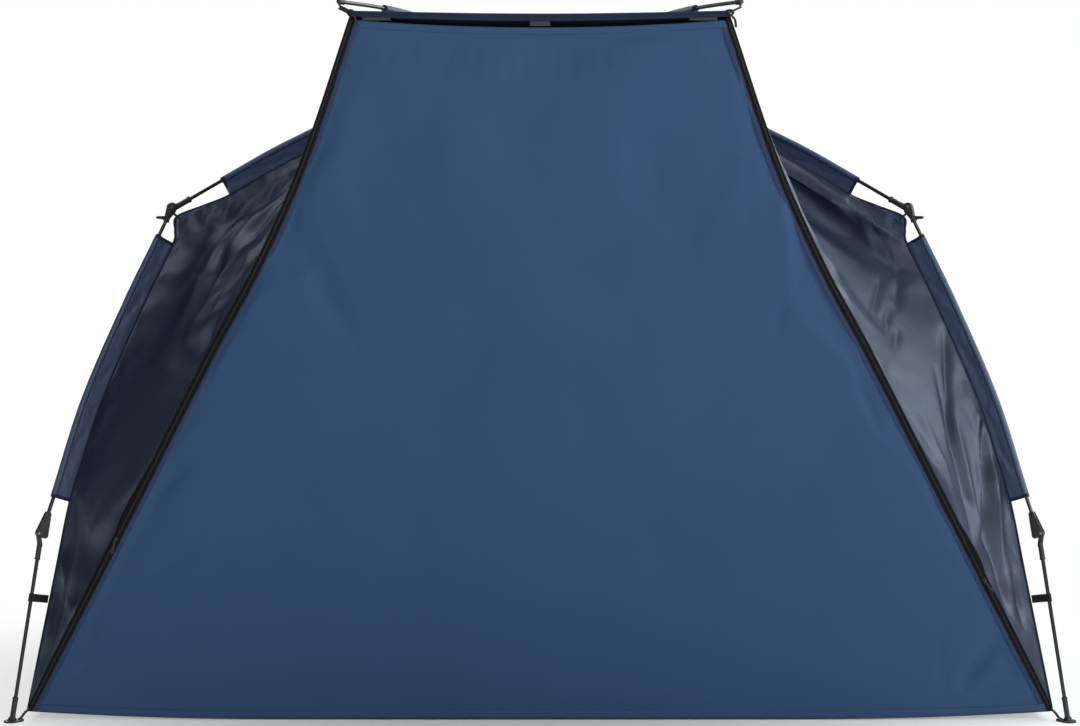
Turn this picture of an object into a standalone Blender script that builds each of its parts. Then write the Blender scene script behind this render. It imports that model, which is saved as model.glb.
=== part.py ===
"""A beach tent on a hub frame.

A hub over the middle carries two awning arms and four legs of fibreglass rod.  The skin
hangs from the rods in sleeves: a canopy, two wings beside the front door, two side walls,
a rear wall and a groundsheet.  The front door opens at its foot, and the four lower legs
fold up on pins.  Metres, +Z up, door towards -Y, origin on the groundsheet's underside.
"""
import math
from bisect import bisect_right
from typing import NamedTuple

import bmesh
import bpy
from mathutils import Matrix, Vector
from mathutils.geometry import convex_hull_2d

# Plan of the feet
FOOT_X = 1.33
FOOT_Y = 0.85
FOOT_REACH = math.hypot(FOOT_X, FOOT_Y)

# Rods: each profile is (distance from the hub's axis, height) in the rod's own upright plane
ROD_RADIUS = 0.00475
SLEEVE_START = (0.084, 1.7555)
ROOF_SLEEVE_END = (1.013, 1.394)
KNEE = (1.157, 1.308)
ROOF_PROFILE = [(0.040, 1.760), SLEEVE_START, (0.300, 1.717), (0.550, 1.636), (0.821, 1.505),
                ROOF_SLEEVE_END, KNEE]
LEG_SLEEVE_TOP = (1.190, 1.240)
LEG_SLEEVE_FOOT = (1.4715, 0.562)
LEG_JOINT = (1.503, 0.4725)
LEG_PROFILE = [KNEE, LEG_SLEEVE_TOP, (1.276, 1.068), (1.391, 0.809), LEG_SLEEVE_FOOT, LEG_JOINT]
AWNING_TIP_X = 0.475
AWNING_TIP_Y = -1.15
AWNING_REACH = math.hypot(AWNING_TIP_X, AWNING_TIP_Y)
AWNING_SLEEVE_START = (0.084, 1.768)
AWNING_SLEEVE_END = (1.011, 1.7806)
AWNING_PROFILE = [(0.040, 1.763), AWNING_SLEEVE_START, (0.400, 1.793), (0.750, 1.795),
                  AWNING_SLEEVE_END, (AWNING_REACH, 1.755)]
AWNING_CAP_LENGTH = 0.026
AWNING_CAP_RADIUS = 0.0065

# Sleeves: a tunnel round the rod, a fin of doubled cloth, and a piped seam at its inner edge
TUNNEL_BORE = 0.0055
TUNNEL_RADIUS = 0.0070
FIN_WIDTH = 0.044
FIN_HALF = 0.0012
BEAD_RADIUS = 0.0030
RING_SIDES = 8
ROOF_STATIONS = 9
LEG_STATIONS = 7
AWNING_STATIONS = 8

# Seam corners in a leg's plane, and the canopy's front corner in the awning arm's plane
CROWN_SEAM = (0.080, 1.714)
KNEE_SEAM = (1.141, 1.291)
CORNER_SEAM = (1.537, 0.0300)
CANOPY_CORNER = (1.2067, 1.7335)
CANOPY_CORNER_PULL = 0.014

# Skin
CLOTH = 0.0024
GAP = 0.0005
ZIP_GAP = 0.0065
DOOR_FOOT_Y = -0.820
DOOR_LEAN = 0.1744
ZIP_HALF_WIDTHS = [(1.010, 0.564), (0.803, 0.948), (0.692, 1.142), (0.574, 1.389)]
DOOR_TOP = 1.717
DOOR_TOP_DIP = 0.017
DOOR_COLUMNS = 8
SIDE_COLUMNS = 6
REAR_COLUMNS = 8
CANOPY_COLUMNS = 6
SIDE_HOLLOW = 0.050
REAR_HOLLOW = 0.060
WING_HOLLOW = 0.015
CANOPY_HOLLOW = 0.010

# Groundsheet
SHEET_THICK = 0.003
SHEET_X = 1.297
SHEET_FRONT = -0.8215
SHEET_REAR = 0.829
CORNER_LIFT = 0.0205
FLAT_SHARE = 0.5
SHEET_STEP = 0.0009

# Hub and crown
CROWN_RADIUS = 0.078
CROWN_THICK = 0.003
HUB_RADIUS = 0.034
HUB_LOW = 1.738
HUB_TOP = 1.787
HUB_STEM_RADIUS = 0.028
HUB_STEM_TOP = 1.745
HUB_ARM_RADIUS = 0.0095
HUB_ARM_ROOT = 0.020
HUB_ARM_END = 0.081
HUB_BORE_SEAT = 0.0015
SEAT_GAP = 0.0003
PAST_CUT = 0.010
HUB_SIDES = 20
SOCKET_SIDES = 10
FERRULE_SIDES = 12
CROWN_SIDES = 36

# Knee housing
KNEE_PIN = (1.155, 1.316)
KNEE_PIN_HOLE = 0.0025
KNEE_EAR = 0.012
KNEE_MIDDLE = (-0.004, 0.0085)
KNEE_TAIL = (0.018, 0.0075)
KNEE_HALF = 0.0080
SOCKET_RADIUS = 0.0080
KNEE_ROOF_SOCKET = 0.062
KNEE_LEG_SOCKET = 0.034
KNEE_ROD_GAP = 0.016
KNEE_BORE_GAP = 0.015
KNEE_TAB_HEIGHT = 1.287
KNEE_TAB_REACH = 0.027
KNEE_TAB_ENDS = (0.005, 0.0035)
KNEE_TAB_HALF = 0.004

# Lower leg hinge
LEG_PIN = (1.511, 0.4725)
HINGE_HALF = 0.0085
HINGE_NECK = 0.050
HINGE_NECK_RADIUS = 0.0072
HINGE_EYE = 0.0065
HINGE_STOP = (-0.0155, -0.0065, 0.0080)
HINGE_BORE_SEAT = 0.015
TONGUE_HALF = 0.0040
TONGUE_EYE = 0.0062
TONGUE_ROOT = (-0.008, 0.0060)
SLOT_HALF = 0.0045
SLOT_EYE = 0.0072
SLOT_REACH = [(0.0048, 0.036, 0.0072), (0.030, 0.010, 0.002), (0.030, -0.032, 0.002),
              (-0.009, -0.032, 0.002)]
PIN_RADIUS = 0.0022
PIN_HOLE = 0.0027
PIN_SINK = 0.001
PAST_PLATE = 0.020
SOCKET_TOP = 0.4490
SOCKET_FOOT = 0.405
SOCKET_OVERLAP = 0.020

# Foot and straps
FERRULE_TOP = 0.062
FERRULE_FOOT = 0.003
FERRULE_RADIUS = 0.0075
FOOT_ROD_END = 0.011
FOOT_ROD_SEAT = 0.0005
FOOT_PLATE = 0.005
FOOT_PLATE_RADIUS = 0.020
FOOT_LUG = (0.020, 0.011)
STRAP_HEIGHT = 0.310
STRAP_WIDTH = 0.020
STRAP_RING = 0.0071
STRAP_HALF = 0.0013
STRAP_SEAT = 0.0012
STRAY_STRAP_HALF = (0.008, 0.0011)
STRAY_LEAVE = 0.3
CORNER_STRAP_END = (-0.019, 0.0018)
TIP_STRAP_END = (-0.004, -0.0018)

CORNERS = {'front_left': (-1, -1), 'front_right': (1, -1), 'rear_left': (-1, 1), 'rear_right': (1, 1)}
SIDES = {'left': -1, 'right': 1}


class Station(NamedTuple):
    """One cross-section of a sleeve: its seam, its rod where the fin runs, and the bead's half sizes."""

    seam: Vector
    rod: Vector | None
    half_across: float
    half_thick: float


class SmoothCurve:
    """A smooth curve through a few points, read by the share of its chord length."""

    def __init__(self, points):
        self.points = [Vector(point) for point in points]
        lengths = [0.0]
        for near, far in zip(self.points, self.points[1:]):
            lengths.append(lengths[-1] + (far - near).length)
        self.knots = [length / lengths[-1] for length in lengths]
        last = len(self.points) - 1
        self.slopes = []
        for index in range(last + 1):
            low = max(index - 1, 0)
            high = min(index + 1, last)
            rise = self.points[high] - self.points[low]
            self.slopes.append(rise / (self.knots[high] - self.knots[low]))

    def at(self, share):
        """Return the point at a share from 0 to 1."""
        piece = min(max(bisect_right(self.knots, share) - 1, 0), len(self.points) - 2)
        width = self.knots[piece + 1] - self.knots[piece]
        t = (share - self.knots[piece]) / width
        start = self.points[piece] * (2 * t**3 - 3 * t**2 + 1)
        leave = self.slopes[piece] * width * (t**3 - 2 * t**2 + t)
        end = self.points[piece + 1] * (3 * t**2 - 2 * t**3)
        arrive = self.slopes[piece + 1] * width * (t**3 - t**2)
        return start + leave + end + arrive

    def heading(self, share):
        """Return the unit tangent at a share."""
        step = 0.001
        return (self.at(min(share + step, 1.0)) - self.at(max(share - step, 0.0))).normalized()

    def share_of(self, point):
        """Return the share at which the curve passes one of its own points."""
        return self.knots[self.points.index(Vector(point))]


def upright(pair):
    """Return a (distance, height) pair as a point in a rod's own plane."""
    return Vector((pair[0], 0.0, pair[1]))


def inward(heading):
    """Return the direction square to a rod's heading, towards the tent's inside."""
    return Vector((heading.z, 0.0, -heading.x))


def spread(start, end, count):
    """Return count values from start to end, both included."""
    return [start + (end - start) * index / (count - 1) for index in range(count)]


def azimuth_of(x, y):
    """Return the angle of a plan direction from +X."""
    return math.atan2(y, x)


def to_world(point, azimuth):
    """Turn a point of a rod's own plane into the tent's frame."""
    return Matrix.Rotation(azimuth, 3, 'Z') @ point


ROOF = SmoothCurve([upright(pair) for pair in ROOF_PROFILE])
LEG = SmoothCurve([upright(pair) for pair in LEG_PROFILE])
AWNING = SmoothCurve([upright(pair) for pair in AWNING_PROFILE])
LOWER_START = upright(LEG_JOINT)
LOWER_END = upright((FOOT_REACH, 0.0))
LOWER_HEADING = (LOWER_END - LOWER_START).normalized()


def lower_point(height):
    """Return the point of the lower leg's axis at a height."""
    return LOWER_START + LOWER_HEADING * ((height - LOWER_START.z) / LOWER_HEADING.z)


# Materials

def finish(name, colour, roughness, metallic=0.0):
    """Make a Principled material."""
    material = bpy.data.materials.new(name)
    material.use_nodes = True
    shader = material.node_tree.nodes['Principled BSDF']
    shader.inputs['Base Color'].default_value = (*colour, 1.0)
    shader.inputs['Roughness'].default_value = roughness
    shader.inputs['Metallic'].default_value = metallic
    return material


# Mesh makers

def finished_mesh(bm, name):
    """Close a bmesh into a mesh with its faces outwards."""
    bmesh.ops.recalc_face_normals(bm, faces=bm.faces)
    mesh = bpy.data.meshes.new(name)
    bm.to_mesh(mesh)
    bm.free()
    return mesh


def cylinder(start, end, radius, sides=12):
    """Make a closed cylinder between two points."""
    axis = end - start
    turn = axis.to_track_quat('Z', 'Y').to_matrix().to_4x4()
    place = Matrix.Translation((start + end) / 2) @ turn
    bm = bmesh.new()
    bmesh.ops.create_cone(bm, cap_ends=True, segments=sides, radius1=radius, radius2=radius,
                          depth=axis.length, matrix=place)
    return finished_mesh(bm, 'cylinder')


def rounded_outline(circles, sides=12):
    """Return the outline round a few circles, each given as (distance, height, radius)."""
    rim = []
    for distance, height, radius in circles:
        for step in range(sides):
            angle = 2 * math.pi * step / sides
            rim.append((distance + radius * math.cos(angle), height + radius * math.sin(angle)))
    return [rim[index] for index in convex_hull_2d(rim)]


def prism(outline, half_width):
    """Make a plate of an outline in a rod's plane, half_width to each side of the plane."""
    bm = bmesh.new()
    rim = [bm.verts.new((distance, -half_width, height)) for distance, height in outline]
    face = bm.faces.new(rim)
    grown = bmesh.ops.extrude_face_region(bm, geom=[face])['geom']
    moved = [item for item in grown if isinstance(item, bmesh.types.BMVert)]
    bmesh.ops.translate(bm, verts=moved, vec=(0.0, 2 * half_width, 0.0))
    return finished_mesh(bm, 'prism')


def slab(outline, low, high):
    """Make a level plate of a plan outline between two heights."""
    bm = bmesh.new()
    face = bm.faces.new([bm.verts.new((x, y, low)) for x, y in outline])
    grown = bmesh.ops.extrude_face_region(bm, geom=[face])['geom']
    moved = [item for item in grown if isinstance(item, bmesh.types.BMVert)]
    bmesh.ops.translate(bm, verts=moved, vec=(0.0, 0.0, high - low))
    return finished_mesh(bm, 'slab')


def solid(name, joined, cut=()):
    """Fuse overlapping shapes into one body, then take the cutting shapes out of it."""
    target = bpy.data.objects.new(name, joined[0])
    helpers = [target]
    bpy.context.scene.collection.objects.link(target)
    steps = [(mesh, 'UNION') for mesh in joined[1:]] + [(mesh, 'DIFFERENCE') for mesh in cut]
    for mesh, operation in steps:
        helper = bpy.data.objects.new('helper', mesh)
        bpy.context.scene.collection.objects.link(helper)
        helpers.append(helper)
        step = target.modifiers.new(operation.lower(), 'BOOLEAN')
        step.operation = operation
        step.solver = 'EXACT'
        step.object = helper
    bpy.context.view_layer.update()
    shaped = target.evaluated_get(bpy.context.evaluated_depsgraph_get())
    mesh = bpy.data.meshes.new_from_object(shaped)
    mesh.name = name
    for helper in helpers:
        bpy.data.objects.remove(helper)
    return mesh


def ring_vertices(bm, centre, heading, radius, sides):
    """Add a ring of vertices square to a heading in the rod's plane."""
    out = -inward(heading)
    across = Vector((0.0, 1.0, 0.0))
    ring = []
    for step in range(sides):
        angle = 2 * math.pi * (step + 0.5) / sides
        ring.append(bm.verts.new(centre + radius * (math.cos(angle) * out + math.sin(angle) * across)))
    return ring


def rod_mesh(name, curve, shares, caps=()):
    """Sweep a round rod along a curve; caps are (share, radius) steps at its far end."""
    steps = [(share, ROD_RADIUS) for share in shares] + list(caps)
    bm = bmesh.new()
    rings = []
    for share, radius in steps:
        rings.append(ring_vertices(bm, curve.at(share), curve.heading(share), radius, RING_SIDES))
    for near, far in zip(rings, rings[1:]):
        for index in range(RING_SIDES):
            after = (index + 1) % RING_SIDES
            bm.faces.new((near[index], near[after], far[after], far[index]))
    bm.faces.new(rings[0])
    bm.faces.new(rings[-1])
    return finished_mesh(bm, name)


def bead_vertices(bm, station, heading):
    """Add the six vertices of a seam's section, its fin side first and last."""
    out = -inward(heading)
    across = Vector((0.0, 1.0, 0.0))
    wide, thick = station.half_across, station.half_thick
    shape = [(-FIN_HALF, thick), (-wide, 0.0), (-FIN_HALF, -thick),
             (FIN_HALF, -thick), (wide, 0.0), (FIN_HALF, thick)]
    return [bm.verts.new(station.seam + side * across + rise * out) for side, rise in shape]


def tunnel_vertices(bm, station, heading, radius):
    """Add an open ring round the rod, from one side of the fin to the other."""
    out = -inward(heading)
    across = Vector((0.0, 1.0, 0.0))
    opening = math.asin(FIN_HALF / TUNNEL_RADIUS)
    ring = []
    for angle in spread(opening, 2 * math.pi - opening, RING_SIDES + 1):
        ring.append(bm.verts.new(station.rod - radius * (math.cos(angle) * out + math.sin(angle) * across)))
    return ring


def sleeve_mesh(name, stations):
    """Sweep a sleeve: a bead all the way, with a fin and a tunnel wherever a station has a rod."""
    bm = bmesh.new()
    last = len(stations) - 1
    beads, outers, inners = [], [], []
    for index, station in enumerate(stations):
        low, high = max(index - 1, 0), min(index + 1, last)
        heading = (stations[high].seam - stations[low].seam).normalized()
        if station.rod is not None:
            heading = -inward((station.seam - station.rod).normalized())
        beads.append(bead_vertices(bm, station, heading))
        if station.rod is None:
            outers.append(None)
            inners.append(None)
            continue
        outers.append(tunnel_vertices(bm, station, heading, TUNNEL_RADIUS))
        inners.append(tunnel_vertices(bm, station, heading, TUNNEL_BORE))
    bm.faces.new(beads[0])
    bm.faces.new(beads[-1])
    for index in range(last):
        near, far = beads[index], beads[index + 1]
        for side in range(5):
            bm.faces.new((near[side], near[side + 1], far[side + 1], far[side]))
        if outers[index] is None or outers[index + 1] is None:
            bm.faces.new((near[5], near[0], far[0], far[5]))
            continue
        near_rim = [near[0]] + outers[index] + [near[5]]
        far_rim = [far[0]] + outers[index + 1] + [far[5]]
        for side in range(len(near_rim) - 1):
            bm.faces.new((near_rim[side], near_rim[side + 1], far_rim[side + 1], far_rim[side]))
        near_bore, far_bore = inners[index], inners[index + 1]
        for side in range(RING_SIDES + 1):
            after = (side + 1) % (RING_SIDES + 1)
            bm.faces.new((near_bore[side], near_bore[after], far_bore[after], far_bore[side]))
    for index in range(last + 1):
        before = index > 0 and outers[index - 1] is not None
        beyond = index < last and outers[index + 1] is not None
        if outers[index] is None or (before and beyond):
            continue
        outer, inner, bead = outers[index], inners[index], beads[index]
        bm.faces.new((bead[0], bead[5], outer[-1], outer[0]))
        bm.faces.new((outer[0], outer[-1], inner[-1], inner[0]))
        for side in range(RING_SIDES):
            bm.faces.new((outer[side], outer[side + 1], inner[side + 1], inner[side]))
    return finished_mesh(bm, name)


# Stations along the seams

def finned(curve, shares):
    """Return stations whose fin hangs square to the rod."""
    stations = []
    for share in shares:
        rod = curve.at(share)
        seam = rod + inward(curve.heading(share)) * FIN_WIDTH
        stations.append(Station(seam, rod, BEAD_RADIUS, BEAD_RADIUS))
    return stations


def from_crown(stations):
    """Start a run of stations at the crown patch's rim."""
    return [stations[0]._replace(seam=upright(CROWN_SEAM))] + stations[1:]


def plain(points):
    """Return stations with no fin at the given points."""
    return [Station(point, None, BEAD_RADIUS, BEAD_RADIUS) for point in points]


def strap_run(points):
    """Return stations of the flat webbing that ties a seam's end to the frame."""
    return [Station(point, None, *STRAY_STRAP_HALF) for point in points]


def sleeve_shares(curve, start, end, count):
    """Return count shares of a rod between two of its own points, over which its sleeve runs."""
    return spread(curve.share_of(upright(start)), curve.share_of(upright(end)), count)


ROOF_SHARES = sleeve_shares(ROOF, SLEEVE_START, ROOF_SLEEVE_END, ROOF_STATIONS)
LEG_SHARES = sleeve_shares(LEG, LEG_SLEEVE_TOP, LEG_SLEEVE_FOOT, LEG_STATIONS)
AWNING_SHARES = sleeve_shares(AWNING, AWNING_SLEEVE_START, AWNING_SLEEVE_END, AWNING_STATIONS)


def ridge_stations():
    """Return a leg's seam from the crown over the knee to the groundsheet's corner."""
    roof = from_crown(finned(ROOF, ROOF_SHARES))
    leg = finned(LEG, LEG_SHARES)
    knee, corner = upright(KNEE_SEAM), upright(CORNER_SEAM)
    bend = plain([(roof[-1].seam + knee) / 2, knee, (leg[0].seam + knee) / 2])
    low = plain([leg[-1].seam.lerp(corner, share) for share in (1 / 3, 2 / 3, 1.0)])
    return roof + bend + leg + low


def awning_stations():
    """Return an awning arm's seam from the crown to the canopy's front corner."""
    run = from_crown(finned(AWNING, AWNING_SHARES))
    corner = upright(CANOPY_CORNER)
    corner.y = CANOPY_CORNER_PULL
    return run + plain([(run[-1].seam + corner) / 2, corner])


RIDGE = ridge_stations()
AWNING_RIDGE = awning_stations()
KNEE_INDEX = ROOF_STATIONS + 1


def corner_azimuth(name):
    """Return the plan angle of one leg."""
    return azimuth_of(CORNERS[name][0] * FOOT_X, CORNERS[name][1] * FOOT_Y)


def awning_azimuth(side):
    """Return the plan angle of one awning arm."""
    return azimuth_of(SIDES[side] * AWNING_TIP_X, AWNING_TIP_Y)


def ridge_line(name):
    """Return one leg's seam in the tent's frame, from the crown to the ground."""
    return [to_world(station.seam, corner_azimuth(name)) for station in RIDGE]


def awning_line(side):
    """Return one awning arm's seam in the tent's frame, from the crown to the front corner."""
    line = []
    for station in AWNING_RIDGE:
        local = Vector(station.seam)
        local.y *= -SIDES[side]
        line.append(to_world(local, awning_azimuth(side)))
    return line


# Skin

def crown_arc(start, end, count):
    """Return points round the crown from one seam's start to another's, both included."""
    first = azimuth_of(start.x, start.y)
    turn = (azimuth_of(end.x, end.y) - first + math.pi) % (2 * math.pi) - math.pi
    points = []
    for share in spread(0.0, 1.0, count):
        radius = start.xy.length * (1 - share) + end.xy.length * share
        angle = first + turn * share
        height = start.z * (1 - share) + end.z * share
        points.append(Vector((radius * math.cos(angle), radius * math.sin(angle), height)))
    return points


def coons(low, high, left, right):
    """Fill four edge lines with a smooth patch, as rows from low to high."""
    rows = []
    for row_index in range(len(left)):
        v = row_index / (len(left) - 1)
        row = []
        for index in range(len(low)):
            u = index / (len(low) - 1)
            along = low[index] * (1 - v) + high[index] * v
            across = left[row_index] * (1 - u) + right[row_index] * u
            ends = low[0] * (1 - u) * (1 - v) + low[-1] * u * (1 - v)
            ends = ends + high[0] * (1 - u) * v + high[-1] * u * v
            row.append(along + across - ends)
        rows.append(row)
    return rows


def hollowed(rows, depth, centre):
    """Draw the middle of a patch towards a point inside the tent, as taut cloth does."""
    count = len(rows) - 1
    width = len(rows[0]) - 1
    for row_index, row in enumerate(rows):
        for index, point in enumerate(row):
            share = math.sin(math.pi * index / width) * math.sin(math.pi * row_index / count)
            pull = Vector((centre[0] - point.x, centre[1] - point.y, centre[2] - point.z))
            row[index] = point + pull.normalized() * depth * share
    return rows


def shifted_edge(edge, inner, distance):
    """Move an edge line into its patch by a distance, square to the edge."""
    moved = []
    last = len(edge) - 1
    for index, point in enumerate(edge):
        along = (edge[min(index + 1, last)] - edge[max(index - 1, 0)]).normalized()
        into = inner[index] - point
        into = (into - along * into.dot(along)).normalized()
        moved.append(point + into * distance)
    return moved


def trimmed(rows, left=0.0, right=0.0):
    """Set a patch back from the seams at its left and right edges."""
    edge = shifted_edge([row[0] for row in rows], [row[1] for row in rows], left)
    other = shifted_edge([row[-1] for row in rows], [row[-2] for row in rows], right)
    for row, first, last in zip(rows, edge, other):
        row[0], row[-1] = first, last
    return rows


def cloth_mesh(name, rows):
    """Lay a grid of cloth on rows of points; a Solidify gives it its thickness."""
    tall, wide = len(rows) - 1, len(rows[0]) - 1
    bm = bmesh.new()
    bmesh.ops.create_grid(bm, x_segments=wide, y_segments=tall, size=1.0)
    for vertex in bm.verts:
        column = round((vertex.co.x + 1) / 2 * wide)
        row = round((vertex.co.y + 1) / 2 * tall)
        vertex.co = rows[row][column]
    mesh = bpy.data.meshes.new(name)
    bm.to_mesh(mesh)
    bm.free()
    return mesh


def sheet_lift(x, y):
    """Return how far the groundsheet is drawn up towards its corners."""
    reach = SHEET_REAR if y > 0 else -SHEET_FRONT
    across = max(0.0, (abs(x) / SHEET_X - FLAT_SHARE) / (1 - FLAT_SHARE))
    along = max(0.0, (abs(y) / reach - FLAT_SHARE) / (1 - FLAT_SHARE))
    return CORNER_LIFT * min(across, 1.0)**2 * min(along, 1.0)**2


def foot_line(start, end, count):
    """Return a wall's bottom edge between two corners, just above the groundsheet."""
    points = []
    for share in spread(0.0, 1.0, count):
        point = start.lerp(end, share)
        point.z = SHEET_THICK + sheet_lift(point.x, point.y) + SHEET_STEP
        points.append(point)
    points[0], points[-1] = start.copy(), end.copy()
    return points


def gore(first, second, columns, depth):
    """Return a wall that runs from the groundsheet to the crown between two legs."""
    left, right = ridge_line(first)[::-1], ridge_line(second)[::-1]
    low = foot_line(left[0], right[0], columns + 1)
    high = crown_arc(left[-1], right[-1], columns + 1)
    rows = hollowed(coons(low, high, left, right), depth, (0.0, 0.0, 0.8))
    return trimmed(rows, BEAD_RADIUS + GAP, BEAD_RADIUS + GAP)


def door_plane_y(height):
    """Return the door's depth at a height: it leans forward."""
    return DOOR_FOOT_Y - DOOR_LEAN * height


def zip_line(side, count):
    """Return the zipped edge from the groundsheet's corner up to the canopy's front corner."""
    start = ridge_line('front_' + side)[-1]
    end = awning_line(side)[-1]
    middle = [Vector((SIDES[side] * half, door_plane_y(height), height))
              for half, height in ZIP_HALF_WIDTHS]
    curve = SmoothCurve([start] + middle + [end])
    return [curve.at(share) for share in spread(0.0, 1.0, count)]


def wing(side):
    """Return the wall between the front leg, the awning arm and the zip."""
    ridge = ridge_line('front_' + side)
    awning = awning_line(side)
    left = ridge[:KNEE_INDEX - 1:-1]
    high = ridge[KNEE_INDEX::-1]
    arc = crown_arc(awning[0], ridge[0], len(left) - len(awning) + 1)
    right = awning[::-1] + arc[1:]
    low = zip_line(side, len(high))
    rows = hollowed(coons(low, high, left, right), WING_HOLLOW, (0.0, 0.0, 0.8))
    rows = trimmed(rows, BEAD_RADIUS + GAP, 0.0)
    crossed = [list(column) for column in zip(*rows)]
    crossed = trimmed(crossed, 0.0, BEAD_RADIUS + GAP)
    rows = [list(row) for row in zip(*crossed)]
    inner = [row[-2] for row in rows]
    edge = shifted_edge([row[-1] for row in rows], inner, BEAD_RADIUS + GAP)
    for row, point in zip(rows[:len(awning)], edge):
        row[-1] = point
    return rows


def canopy():
    """Return the roof between the two awning arms."""
    left, right = awning_line('left')[::-1], awning_line('right')[::-1]
    low = [left[0].lerp(right[0], share) for share in spread(0.0, 1.0, CANOPY_COLUMNS + 1)]
    high = crown_arc(left[-1], right[-1], CANOPY_COLUMNS + 1)
    rows = hollowed(coons(low, high, left, right), CANOPY_HOLLOW, (0.0, 0.0, 0.8))
    return trimmed(rows, BEAD_RADIUS + GAP, BEAD_RADIUS + GAP)


def front_door():
    """Return the zipped door, which lies in one leaning plane."""
    edge = zip_line('right', ROOF_STATIONS + 2)
    lowest, highest = edge[0].z, edge[-1].z
    rows = []
    for index, point in enumerate(edge):
        climb = index / (len(edge) - 1)
        height = lowest + (point.z - lowest) * (DOOR_TOP - lowest) / (highest - lowest)
        half = point.x - ZIP_GAP
        row = []
        for share in spread(-1.0, 1.0, DOOR_COLUMNS + 1):
            foot = SHEET_THICK + sheet_lift(share * half, SHEET_FRONT) + SHEET_STEP
            drop = (lowest - foot) * (1 - climb) + DOOR_TOP_DIP * (1 - share**2) * climb
            level = height - drop
            row.append(Vector((share * half, door_plane_y(level), level)))
        rows.append(row)
    return rows


def groundsheet():
    """Return the middle of the groundsheet, level but for its four lifted corners."""
    depths = spread(SHEET_FRONT, SHEET_REAR, SIDE_COLUMNS + 1)
    rows = []
    for y in depths:
        row = []
        for x in spread(-SHEET_X, SHEET_X, REAR_COLUMNS + 1):
            row.append(Vector((x, y, sheet_lift(x, y))))
        rows.append(row)
    return rows


# Frame pieces, each in its rod's own plane

def hub_mesh():
    """Make the hub: a turned body with six bored arms."""
    crown_top = RIDGE[0].seam.z + CROWN_THICK / 2
    body = cylinder(Vector((0, 0, HUB_LOW)), Vector((0, 0, HUB_TOP)), HUB_RADIUS, HUB_SIDES)
    stem = cylinder(Vector((0, 0, crown_top + SEAT_GAP)), Vector((0, 0, HUB_STEM_TOP)),
                    HUB_STEM_RADIUS, HUB_SIDES)
    arms, bores = [], []
    rods = [(ROOF, corner_azimuth(name)) for name in CORNERS]
    rods += [(AWNING, awning_azimuth(side)) for side in SIDES]
    for curve, azimuth in rods:
        start, heading = curve.at(0.0), curve.heading(0.0)
        mouth = to_world(start + heading * (HUB_ARM_END - start.x), azimuth)
        root = to_world(start - heading * HUB_ARM_ROOT, azimuth)
        seat = to_world(start - heading * HUB_BORE_SEAT, azimuth)
        beyond = mouth + to_world(heading, azimuth) * PAST_CUT
        arms.append(cylinder(root, mouth, HUB_ARM_RADIUS, SOCKET_SIDES))
        bores.append(cylinder(seat, beyond, TUNNEL_BORE, SOCKET_SIDES))
    return solid('hub', [body, stem] + arms, bores)


def crown_mesh():
    """Make the round patch that closes the skin under the hub."""
    middle = RIDGE[0].seam.z
    low = Vector((0, 0, middle - CROWN_THICK / 2))
    high = Vector((0, 0, middle + CROWN_THICK / 2))
    return cylinder(low, high, CROWN_RADIUS, CROWN_SIDES)


def knee_mesh():
    """Make the knee: a teardrop housing with a socket for each rod and a short tab."""
    knee = upright(KNEE)
    roof_heading, leg_heading = ROOF.heading(1.0), LEG.heading(0.0)
    roof_mouth = knee - roof_heading * KNEE_ROOF_SOCKET
    leg_mouth = knee + leg_heading * KNEE_LEG_SOCKET
    roof_socket = cylinder(roof_mouth, knee, SOCKET_RADIUS, SOCKET_SIDES)
    leg_socket = cylinder(knee, leg_mouth, SOCKET_RADIUS, SOCKET_SIDES)
    shift, middle_radius = KNEE_MIDDLE
    drop, tail_radius = KNEE_TAIL
    tail = knee + leg_heading * drop
    body = prism(rounded_outline([(*KNEE_PIN, KNEE_EAR), (knee.x + shift, knee.z, middle_radius),
                                  (tail.x, tail.z, tail_radius)]), KNEE_HALF)
    root = knee + leg_heading * ((KNEE_TAB_HEIGHT - knee.z) / leg_heading.z)
    root_radius, tip_radius = KNEE_TAB_ENDS
    tab = prism(rounded_outline([(root.x, root.z, root_radius),
                                 (root.x + KNEE_TAB_REACH, root.z, tip_radius)]), KNEE_TAB_HALF)
    roof_bore = cylinder(knee - roof_heading * KNEE_BORE_GAP, roof_mouth - roof_heading * PAST_CUT,
                         TUNNEL_BORE, SOCKET_SIDES)
    leg_bore = cylinder(knee + leg_heading * KNEE_BORE_GAP, leg_mouth + leg_heading * PAST_CUT,
                        TUNNEL_BORE, SOCKET_SIDES)
    pin = upright(KNEE_PIN)
    across = Vector((0.0, PAST_PLATE, 0.0))
    pin_hole = cylinder(pin - across, pin + across, KNEE_PIN_HOLE, SOCKET_SIDES)
    return solid('knee', [body, roof_socket, leg_socket, tab], [roof_bore, leg_bore, pin_hole])


def beside(pin, circle):
    """Return a circle given from a pin as one in the rod's plane."""
    across, rise, radius = circle
    return (pin.x + across, pin.z + rise, radius)


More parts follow.
